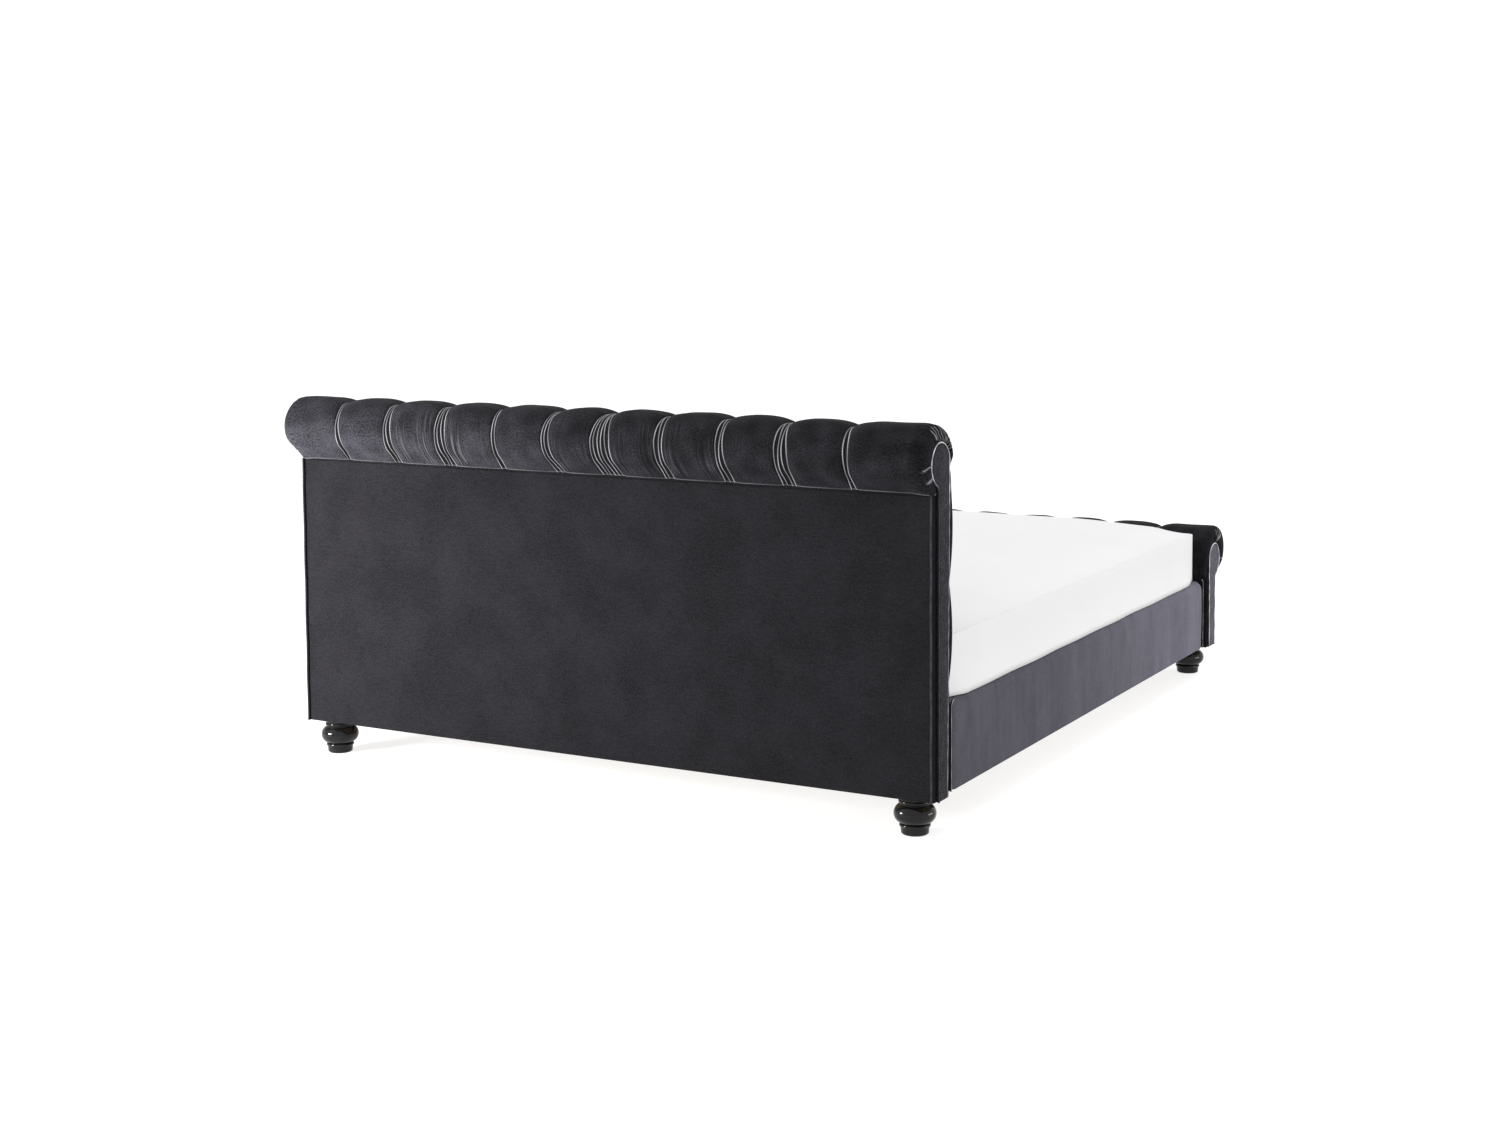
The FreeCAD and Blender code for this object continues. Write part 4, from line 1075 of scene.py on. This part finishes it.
        gather, over_head = self.gathered(side, s, reach)
        crumple = np.exp(-along / 0.045) * waves(reach * 0.08, along, 0.028, 21) * smooth(0.1, 0.5, reach)
        fold = self.loose_folds(along, reach)
        held = 1 - smooth(0.72, 0.94, reach)
        stand = (gather_rise * gather + crumple_rise * crumple + fold_rise * fold) * held
        lift = edge * fade + stand * fade
        out = np.where(fade > 0, out, np.maximum(out + stand, least_out))
        x = side.value * (self.half + out)
        y = outer[:, 0:1] + normal[:, 0:1] * lift + inward[:, 0:1] * depth
        z = outer[:, 1:2] + normal[:, 1:2] * lift + inward[:, 1:2] * depth
        z = z - self.droop(x, along) * (1 - smooth(0.5, 1.0, reach))

        # Painted shade in the hollow behind the panel's head, at the tuck and in the gathers' valleys;
        # painted highlights on the gathers' crests, the crumple, the loose folds and the hem.
        rear = (1 - smooth(self.crest - 60 * MM, self.crest - 20 * MM, s))[:, None]
        hollow = smooth(0.2, 0.75, reach) * 0.9 * rear * smooth(0.04, 0.10, along)
        tucked = smooth(0.8, 1.0, reach) * 0.9 * smooth(0.03, 0.07, along)
        valley = smooth(-0.5, 0.35, -gather) * (over_head > 0.01) * smooth(0.0, 0.2, reach)
        dark = np.maximum(valley, np.maximum(hollow, tucked))
        painted_roll_shade = self.painted_roll_shade(np.full((1, 1), side.value * self.half), along)
        pale = smooth(0.78, 1.0, gather) * 0.5 + smooth(0.6, 1.3, crumple) * 0.35
        pale = pale + smooth(0.4, 0.9, fold) * 0.7
        return {
            "net": self.world(x, y, z),
            PAINTED_HIGHLIGHT: np.maximum(pale * held, self.hem_highlight(along) * 0.4),
            SHADE: 1 - (1 - dark) * (1 - painted_roll_shade),
            CRUSH: 0 * reach,
        }

    def loose_folds(self, s: np.ndarray, reach: np.ndarray) -> np.ndarray:
        """Three loose folds of the wrapped end: one above the panel's head and two by its neck."""
        wide, narrow = 3.5 * MM, 2.8 * MM
        above = bump(s - (self.crest - 26 * MM) - 20 * MM * reach, wide)
        above = above * smooth(0.1, 0.3, reach) * (1 - smooth(0.6, 0.8, reach))
        neck = bump(s - 60 * MM + 26 * MM * (1 - reach) ** 2, narrow) * smooth(0.05, 0.35, reach)
        higher = bump(s - 108 * MM + 32 * MM * (1 - reach) ** 2, narrow) * smooth(0.02, 0.3, reach)
        return above + neck + higher

    # ------------------------------------------------------------ small pieces

    def buttons(self) -> bpy.types.Object:
        """Covered buttons on the floors of their wells."""
        radius, flatness, proud = 0.013, 0.55, 2 * MM
        drop_selection()
        bpy.ops.mesh.primitive_uv_sphere_add(segments=20, ring_count=12, radius=radius)
        model = added("button")
        model.scale = (1, flatness, 1)
        place_in_mesh(model)
        copies = []
        for x, level in self.button_places():
            copy = model.copy()
            copy.data = model.data.copy()
            bpy.context.scene.collection.objects.link(copy)
            depth = self.front_at(level) - self.well_depth + proud
            copy.location = (x, self.outer + self.toward * depth, level)
            copies.append(copy)
        bpy.data.objects.remove(model)
        piece = joined(f"{self.name}_velvet_buttons", copies)
        place_in_mesh(piece)
        bpy.ops.object.shade_smooth()
        piece.data.materials.append(self.finishes.button)
        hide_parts(f"{self.name}_buttons")
        return piece

    def front_at(self, level: float) -> float:
        """y of the cover's smooth front at a height."""
        reach = self.front_centre[0] + self.front_radius - self.inner
        return self.inner + reach * max(0.0, (level - self.seam) / (self.front_centre[1] - self.seam))

    def slab(self, name: str, x: Pair, y: Pair, z: Pair) -> bpy.types.Object:
        """A plain block between two of the board's own corners."""
        corners = self.world(np.array(x), np.array(y), np.array(z))
        return block(name, Vector(corners.min(axis=0)), Vector(corners.max(axis=0)))

    def outer_panel(self) -> bpy.types.Object:
        """The board's outer face: a panel under tight cloth."""
        low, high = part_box(self.outer_node)
        piece = block(f"{self.name}_outer_cloth", low, high - Vector((0, 0, self.seam_gap)))
        soften(piece, radius=2.5 * MM, segments=3)
        piece.data.materials.append(self.finishes.back)
        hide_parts(self.outer_node)
        return piece

    def edge_cloth(self) -> bpy.types.Object:
        """The cloth over both ends of the board, a flap behind each neck, and a dark strip under the seam as
        painted shadow.
        """
        thick, set_in, short = 1.0 * MM, 2 * MM, 12 * MM
        flap_y, flap_rise = (8 * MM, 34 * MM), 30 * MM
        pieces = []
        for side in Side:
            x = (side.value * self.half, side.value * (self.half + thick))
            pieces.append(self.slab(f"edge_cloth_{side.name}", x, (set_in, self.facing - short),
                                    (self.bottom, self.seam)))
            pieces.append(self.slab(f"edge_flap_{side.name}", x, flap_y, (self.seam, self.seam + flap_rise)))
        # A dark strip under the seam: painted shadow in the gap.
        pieces.append(self.slab("seam_shadow_strip", (-self.half, self.half), (1.6 * MM, self.panel_thickness),
                                (self.seam - self.seam_gap, self.seam)))
        piece = joined(f"{self.name}_edge_cloth", pieces)
        piece.data.materials.append(self.finishes.edge)
        return piece

    def edge_welts(self) -> bpy.types.Object:
        """Piping up both edges of the outer panel."""
        step, waver, sunk, shine = 4 * MM, 0.5 * MM, 1 * MM, 0.06
        pieces = []
        for side in Side:
            z = np.arange(self.bottom, self.seam, step)
            x = side.value * (self.half - self.edge_welt_radius) + waver * np.sin(z * 37)
            path = self.world(x, np.full_like(z, -self.edge_welt_radius + sunk), z)
            crest = np.array([side.value * 0.5, -self.toward, 0.0])
            pieces.append(cord(f"edge_welt_{side.name}", path, self.edge_welt_radius, crest, shine))
        piece = joined(f"{self.name}_edge_piping", pieces)
        piece.data.materials.append(self.finishes.welt)
        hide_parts(f"{self.name}_panel_welts")
        return piece

    def end_panel(self, side: Side) -> bpy.types.Object:
        """A scroll-shaped board under velvet, its front edge rounded."""
        count, steps = 240, 4
        thickness, rise, clear = 8.8 * MM, 4 * MM, 1.2 * MM
        outline = self.scroll(0)
        line = outline.at(np.linspace(0, outline.lengths()[-1], count))
        drop_selection()
        bpy.ops.mesh.primitive_circle_add(vertices=count, fill_type="NGON")
        piece = added(f"{self.name}_end_velvet_{side.name.lower()}")
        start = side.value * (self.half + clear)
        places = self.world(np.full(count, start), line[:, 0], line[:, 1])
        piece.data.vertices.foreach_set("co", places.ravel())
        piece.data.update()
        take(piece)
        bpy.ops.object.mode_set(mode="EDIT")
        bpy.ops.mesh.select_all(action="SELECT")
        out = (side.value * (thickness - rise), 0, 0)
        bpy.ops.mesh.extrude_region_move(TRANSFORM_OT_translate={"value": out})
        for share in range(steps):
            first, last = math.radians(share * 90 / steps), math.radians((share + 1) * 90 / steps)
            inset = rise * (math.cos(first) - math.cos(last))
            lift = rise * (math.sin(last) - math.sin(first))
            bpy.ops.mesh.inset(thickness=inset, depth=0)
            bpy.ops.transform.translate(value=(side.value * lift, 0, 0))
        bpy.ops.mesh.select_all(action="SELECT")
        bpy.ops.mesh.normals_make_consistent(inside=False)
        bpy.ops.object.mode_set(mode="OBJECT")
        bpy.ops.object.shade_smooth_by_angle(angle=math.radians(40))
        piece.data.materials.append(self.end_finish)
        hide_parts(f"{self.name}_end_panel_{side.name.lower()}")
        return piece

    def end_welt(self, side: Side) -> bpy.types.Object:
        """Piping round the end panel."""
        step, stand_off, waver = 3.5 * MM, 4.5 * MM, 0.3 * MM
        front_start, rear_start = 40 * MM, -8 * MM  # how far below the seam the piping's painted highlight starts to brighten
        blend = 40 * MM                             # and over what height it does so
        outline = self.scroll(self.welt_radius * 0.8)
        line = outline.at(np.arange(0, outline.lengths()[-1], step))
        x = side.value * (self.half + self.welt_radius + stand_off + waver * np.sin(line[:, 1] * 90))
        path = self.world(x, line[:, 0], line[:, 1])
        front = line[:, 0] > self.panel_centre[0]
        low = np.where(front, self.front_shine, self.rear_shine)
        above = line[:, 1] - self.seam + np.where(front, front_start, rear_start)
        # Painted highlight on the piping, brighter above the seam.
        shine = low + (1 - low) * smooth(0, blend, above)
        piece = cord(f"{self.name}_end_piping_{side.name.lower()}", path, self.welt_radius,
                     np.array([side.value * 1.0, 0.3, 0.4]), shine)
        piece.data.materials.append(self.finishes.welt)
        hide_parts(f"{self.name}_end_welt_{side.name.lower()}")
        return piece

    def build(self) -> list[bpy.types.Object]:
        """Builds the board's upholstery and sets it on the bed frame."""
        made = [self.cover(), self.buttons(), self.outer_panel(), self.edge_cloth(), self.edge_welts()]
        for side in Side:
            made += [self.end_panel(side), self.end_welt(side)]
        return made


def block(name: str, low: Vector, high: Vector) -> bpy.types.Object:
    """A plain block between two corners."""
    drop_selection()
    bpy.ops.mesh.primitive_cube_add(size=1, location=(low + high) / 2, scale=high - low)
    piece = added(name)
    place_in_mesh(piece)
    return piece


def soften(piece: bpy.types.Object, radius: float, segments: int) -> None:
    """Rounds every edge of a piece."""
    take(piece)
    bevel = piece.modifiers.new("round", "BEVEL")
    bevel.width, bevel.segments, bevel.limit_method = radius, segments, "ANGLE"
    bpy.ops.object.modifier_apply(modifier=bevel.name)
    bpy.ops.object.shade_smooth_by_angle(angle=math.radians(35))


# ---------------------------------------------------------------- side rails

@dataclass
class SideRail:
    """A side rail's velvet over thin foam."""

    side: Side
    finishes: Finishes
    crown: float = 0.0015
    top_round: float = 0.024
    small_round: float = 0.005
    end_round: float = 0.026
    pressed: float = 0.006         # how far the mattress presses the foam on top down

    def section(self, width: float, height: float) -> np.ndarray:
        """The outline across the rail, from its inner foot round, as (out, up) with rounded corners."""
        count = 90
        points = []
        corners = (((0, 0), self.small_round, 180), ((width, 0), self.small_round, 270),
                   ((width, height), self.top_round, 0), ((0, height), self.small_round, 90))
        for (out, up), radius, first in corners:
            middle = (out + (radius if out == 0 else -radius), up + (radius if up == 0 else -radius))
            for angle in np.radians(np.linspace(first, first + 90, 7)):
                points.append((middle[0] + radius * math.cos(angle), middle[1] + radius * math.sin(angle)))
        points.append(points[0])
        line = np.array(points)
        known = run_lengths(line)
        extra = np.unique(np.concatenate([known, np.linspace(0, known[-1], count)]))
        return np.stack([np.interp(extra, known, part) for part in line.T], axis=1)

    def build(self) -> list[bpy.types.Object]:
        """Builds the cover of the rail."""
        name = self.side.name.lower()
        low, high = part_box(f"side_rail_cover_{name}")
        width, height, length = high.x - low.x, high.z - low.z - self.pressed, high.y - low.y
        section = self.section(width, height)
        ends = self.end_round * (1 - np.cos(np.radians(np.linspace(0, 90, 8))))
        between = np.linspace(self.end_round, length - self.end_round, 200)[1:-1]
        y = np.concatenate([ends, between, (length - ends)[::-1]])
        past_round = np.maximum(self.end_round - np.minimum(y, length - y), 0)
        drop = self.end_round - np.sqrt(np.maximum(self.end_round ** 2 - past_round ** 2, 0))
        out, up = section[None, :, 0], section[None, :, 1]
        shrink = drop[:, None]
        face = smooth(0.6 * width, width, out) * smooth(0, 0.04, up) * smooth(0, 0.04, height - up)
        swell = face * (self.crown * np.sin(np.pi * up / height) + 0.6 * MM * waves(y[:, None], up, 0.25, 11))
        out = np.where(out > width / 2, out - shrink * 0.6, out) + swell
        up = np.where(up > height / 2, up - shrink, up + shrink * 0.4)
        outer = high.x if self.side is Side.RIGHT else low.x
        x = outer - self.side.value * (width - out)
        places = np.stack(np.broadcast_arrays(x, low.y + y[:, None], low.z + up), axis=-1)
        piece = Cloth(f"side_rail_velvet_{name}", places).model()
        piece.data.materials.append(self.finishes.rail)
        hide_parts(f"side_rail_cover_{name}")
        return [piece]


def rail_end_shadow_cloth(finishes: Finishes) -> bpy.types.Object:
    """Dark cloth that closes the gap between each end of a rail and the board beside it: painted shadow
    there.
    """
    set_in, above_foot = 6 * MM, 2 * MM         # from the rail's face and foot
    inside, outside = 5 * MM, 1 * MM            # how far it reaches to both sides of the rail's end
    low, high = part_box("rail_end_welts")
    timber_low, timber_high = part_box("side_rail_right")
    middle, reach = low.y + (high.y - low.y) / 2, (high.y - low.y) / 2
    pieces = []
    for side in Side:
        across = sorted((side.value * timber_low.x, side.value * (high.x - set_in)))
        for end in (-1, 1):
            along = sorted((middle + end * (reach - inside), middle + end * (reach + outside)))
            pieces.append(block(f"gap_{len(pieces)}", Vector((across[0], along[0], low.z + above_foot)),
                                Vector((across[1], along[1], timber_high.z))))
    piece = joined("rail_end_shadow_cloth", pieces)
    piece.data.materials.append(finishes.edge)
    return piece


def rail_welts(finishes: Finishes) -> bpy.types.Object:
    """Piping up both ends of both rails, bent over the rail's rounded top corner."""
    low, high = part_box("rail_end_welts")
    radius, bend, step, shine = 2.5 * MM, 18 * MM, 4 * MM, 0.5
    above_foot, lowered = 2 * MM, 1 * MM
    turn = np.radians(np.linspace(0, 80, 9))
    pieces = []
    for side in Side:
        for y, inward in ((low.y + radius, 1), (high.y - radius, -1)):
            upright = np.arange(low.z + above_foot, high.z - bend, step)
            z = np.concatenate([upright, high.z - bend + bend * np.sin(turn)])
            along = np.concatenate([np.full(len(upright), y), y + inward * (bend * (1 - np.cos(turn)))])
            path = np.stack([np.full_like(z, side.value * (high.x - radius)), along, z - lowered], axis=1)
            crest = np.array([side.value * 1.0, 0.0, 0.2])
            pieces.append(cord(f"rail_welt_{len(pieces)}", path, radius, crest, shine))
    piece = joined("rail_end_piping", pieces)
    piece.data.materials.append(finishes.welt)
    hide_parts("rail_end_welts")
    return piece


# ---------------------------------------------------------------- mattress

@dataclass
class Mattress:
    """A plain white mattress: crowned on top, its sides bulging a little over the rails."""

    finishes: Finishes
    corner: float = 0.022      # its upright corners
    top_round: float = 0.018
    foot_round: float = 0.012
    crown: float = 0.014       # how much higher its middle is
    edge_fall: float = 0.016   # how much lower its long edges are
    bulge: float = 0.024
    sag: float = 0.012         # how much further the sides stand out low down, where they rest on the rails
    spread: float = 0.008      # how much further still the foot of the sides lies out over the rails' corners
    lip: float = 0.0025        # height of the rounded foot of the bulging sides
    rest_height: float = 0.3145  # just above the rails' tops, where the sides begin to stand out
    rail_face: float = 0.955   # x of the right rail's outer face
    rail_round: float = SideRail.top_round

    def ring(self, half: Pair, inset: float) -> np.ndarray:
        """One line round the mattress, some way in from its sides, as (x, y) from its middle."""
        on_corner, on_side = 7, 80
        keep, lost = max(self.corner, inset), max(self.corner - inset, 0.0)
        points = []
        for number, (right, up) in enumerate(((1, 1), (-1, 1), (-1, -1), (1, -1))):
            for angle in np.radians(np.linspace(90 * number, 90 * number + 90, on_corner)):
                points.append((right * (half[0] - keep) + lost * math.cos(angle),
                               up * (half[1] - keep) + lost * math.sin(angle)))
        points.append(points[0])
        line = []
        for number, (here, there) in enumerate(zip(points, points[1:])):
            steps = on_side if number % on_corner == on_corner - 1 else 1
            step = np.array(there) - np.array(here)
            line += [np.array(here) + step * share / steps for share in range(steps)]
        return np.array(line + [points[0]])

    def profile(self, half: float, low: float, high: float) -> list[Pair]:
        """The lines that the mattress is built from, from the middle of its foot to the middle of its top.

        Args:
            half: half its width.
            low: the height of its foot.
            high: the height of its top.

        Returns:
            How far in from its sides each line runs, and how high.
        """
        turn = np.radians(np.linspace(0, 90, 9))
        round_off = [(1 - math.sin(angle), 1 - math.cos(angle)) for angle in turn]
        lines = [(half, low), (0.3 * half, low)]
        lines += [(self.foot_round * inward, low + self.foot_round * up) for inward, up in round_off]
        steps = (-0.2, 0.0, 0.03, 0.12, 0.3, 0.6, 1.0)  # through the lip, close together at its foot
        lines += [(0.0, self.rest_height + self.lip * step) for step in steps]
        sides = np.linspace(self.rest_height + self.lip, high - self.top_round, 12)[1:-1]
        lines += [(0.0, z) for z in sides]
        lines += [(self.top_round * down, high - self.top_round * inward) for inward, down in round_off]
        return lines + [(inset, high) for inset in np.linspace(self.top_round, half, 26)[1:]]

    def swell(self, x: np.ndarray, y: np.ndarray, z: float, inset: float, half: Pair) -> np.ndarray:
        """How far the sides stand out at one line of the profile."""
        height = z - self.rest_height
        lifted = np.clip(height / self.lip, 0, 1)
        share = math.sqrt(1 - (1 - lifted) ** 2) * (1 - smooth(0.03, 0.15, inset))
        from_ends = 1 - smooth(0.88, 1.0, np.abs(y) / half[1])
        low_down = self.sag * (1 - smooth(0, 90 * MM, height))
        low_down = low_down + self.spread * (1 - smooth(0, 50 * MM, height))
        bulge = self.bulge * (1 + 0.04 * waves(y, x + z, 0.35, 4))
        at_side = smooth(half[0] - 60 * MM, half[0] - 20 * MM, np.abs(x))
        return (bulge + low_down * from_ends) * share * at_side

    def droop(self, x: np.ndarray, height: float) -> np.ndarray:
        """How far the foot of the sides hangs down over the rails' rounded corners."""
        over = np.clip(np.abs(x) - (self.rail_face - self.rail_round), 0, self.rail_round)
        fall = self.rail_round - np.sqrt(self.rail_round ** 2 - over ** 2)
        return fall * (1 - smooth(0, 50 * MM, height))

    def build(self) -> list[bpy.types.Object]:
        """Builds the mattress from lines round it and swells it."""
        low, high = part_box("mattress")
        half = ((high.x - low.x) / 2, (high.y - low.y) / 2)
        middle = (high + low) / 2
        places = []
        for inset, z in self.profile(half[0], low.z, high.z):
            line = self.ring(half, inset)
            x, y = line[:, 0], line[:, 1]
            on_top = smooth(high.z - self.top_round, high.z, np.full_like(x, z))
            rise = self.crown * (1 - smooth(0.50, 0.86, np.abs(x)))
            rise = rise - self.edge_fall * smooth(0.78, 0.90, np.abs(x))
            rise = rise + 0.8 * MM * waves(x, y, 0.7, 8)
            x = x + np.sign(x) * self.swell(x, y, z, inset, half)
            z = z + on_top * rise - self.droop(x, z - self.rest_height)
            places.append(np.stack([x + middle.x, y + middle.y, z], axis=1))
        piece = Cloth("mattress_cover", np.array(places)).model()
        piece.data.materials.append(self.finishes.mattress)
        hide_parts("mattress")
        return [piece]


# ---------------------------------------------------------------- kept pieces

class Carcass:
    """The frame, slats, ironwork and feet, which keep the frame file's shapes and get finishes here."""

    def __init__(self, finishes: Finishes) -> None:
        """Lists which finish each kind of piece takes."""
        self.dress = (
            (("bun_foot",), finishes.lacquer),
            (("post", "rail_", "_rail", "ribs", "slat_ledge", "beam"), finishes.frame_timber),
            # The rails' timber and the packing take the dark lining cloth, which also serves as painted
            # shadow where they show through gaps.
            (("packing", "side_rail"), finishes.edge),
            (("facing",), finishes.plywood),
            (("slats_",), finishes.slat),
            (("sockets", "glides"), finishes.plastic),
            (("brackets", "hangers", "centre_legs"), finishes.painted),
            (("bolts",), finishes.zinc),
        )

    def build(self) -> None:
        """Gives every shown node its finish."""
        for name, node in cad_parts.items():
            if node.hide_render:
                continue
            found = [finish for words, finish in self.dress if any(word in name for word in words)]
            node.data.materials.clear()
            node.data.materials.append(found[-1])
            log.info("%s keeps its shape and takes %s", name, found[-1].name)


# ---------------------------------------------------------------- studio

@dataclass
class Studio:
    """Camera, floor and soft light."""

    eye: tuple[float, float, float] = (-3.0147, 5.695, 1.4554)
    ahead: tuple[float, float, float] = (0.4852, -0.8711, -0.0762)
    roll: float = -0.0068
    lens: float = 51.53
    sensor: float = 36.0
    shift: float = -0.1134
    floor_size: float = 80.0
    floor_glow: float = 0.75       # softens the shadow under the bed
    sky: float = 1.15              # strength of the even light all round
    near: float = 0.05             # how near and how far the camera sees
    far: float = 300.0

    def camera(self) -> None:
        """Sets up the camera at eye level behind the headboard."""
        data = bpy.data.cameras.new("camera")
        data.lens, data.sensor_width, data.shift_y = self.lens, self.sensor, self.shift
        data.clip_start, data.clip_end = self.near, self.far
        camera = bpy.data.objects.new("camera", data)
        bpy.context.scene.collection.objects.link(camera)
        back = -Vector(self.ahead).normalized()
        right = Vector((0, 0, 1)).cross(back).normalized()
        up = back.cross(right)
        turned_right = right * math.cos(self.roll) + up * math.sin(self.roll)
        turned_up = up * math.cos(self.roll) - right * math.sin(self.roll)
        basis = Matrix((turned_right, turned_up, back)).transposed().to_4x4()
        camera.matrix_world = Matrix.Translation(self.eye) @ basis
        bpy.context.scene.camera = camera

    def floor(self) -> None:
        """A wide pale floor."""
        drop_selection()
        bpy.ops.mesh.primitive_plane_add(size=self.floor_size)
        floor = added("floor")
        paint = Paint("pale_floor")
        cloud = paint.noise(paint.place(), 0.6, 2, 0.5)
        floor.data.materials.append(paint.finish(
            Base_Color=paint.blend(cloud, grey(0.34), grey(0.36)), Roughness=0.9, Specular_IOR_Level=0.1,
            Emission_Color=grey(1.0), Emission_Strength=self.floor_glow))

    def lamp(self, name: str, place: tuple[float, float, float], aim: tuple[float, float, float], size: Pair,
             power: float) -> None:
        """A rectangular soft box that faces a point."""
        data = bpy.data.lights.new(name, "AREA")
        data.shape, data.size, data.size_y, data.energy = "RECTANGLE", size[0], size[1], power
        lamp = bpy.data.objects.new(name, data)
        bpy.context.scene.collection.objects.link(lamp)
        lamp.location = place
        lamp.rotation_mode = "QUATERNION"
        lamp.rotation_quaternion = (Vector(aim) - Vector(place)).to_track_quat("-Z", "Y")

    def build(self) -> None:
        """Builds the studio round the bed."""
        self.camera()
        self.floor()
        world = bpy.data.worlds.new("studio")
        bpy.context.scene.world = world
        world.use_nodes = True
        background = world.node_tree.nodes["Background"]
        background.inputs["Color"].default_value = grey(1.0)
        background.inputs["Strength"].default_value = self.sky
        bpy.context.scene.view_settings.view_transform = "Standard"
        self.lamp("key", place=(1.9, 2.9, 0.78), aim=(0.9, 1.15, 0.6), size=(0.7, 0.4), power=165)
        self.lamp("side", place=(-5.0, -0.9, 0.45), aim=(-0.95, 0, 0.25), size=(2.4, 0.7), power=62)
        self.lamp("top", place=(0, 0, 7.0), aim=(0, 0, 0), size=(6.0, 6.0), power=270)


# ---------------------------------------------------------------- the bed

def main() -> None:
    """Builds the bed piece by piece and sets it on its bodies."""
    logging.basicConfig(level=logging.INFO, format="%(message)s")
    Studio().build()
    finishes = Finishes()
    headboard = Board("headboard", "headboard_back_panel", HEAD_PLEATS, 5, -1, finishes, finishes.head_end,
                      rear_shine=0.05, front_shine=0.35, sag=4.6 * MM, corner=44 * MM, end_swell=12 * MM,
                      gather_reach=0.155)
    footboard = Board("footboard", "footboard_outer_panel", FOOT_PLEATS, 1, 1, finishes, finishes.foot_end,
                      rear_shine=0.9, front_shine=0.9, sag=0.0, corner=24 * MM, end_swell=9 * MM,
                      gather_reach=0.045)
    on_frame = headboard.build() + footboard.build()
    for side in Side:
        on_frame += SideRail(side, finishes).build()
    on_frame += [rail_welts(finishes), rail_end_shadow_cloth(finishes)]
    for piece in on_frame:
        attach(piece, "bed_frame")
        log.info("%s: %d faces", piece.name, len(piece.data.polygons))
    for piece in Mattress(finishes).build():
        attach(piece, "mattress")
        log.info("%s: %d faces", piece.name, len(piece.data.polygons))
    Carcass(finishes).build()


if __name__ == "__main__":
    main()
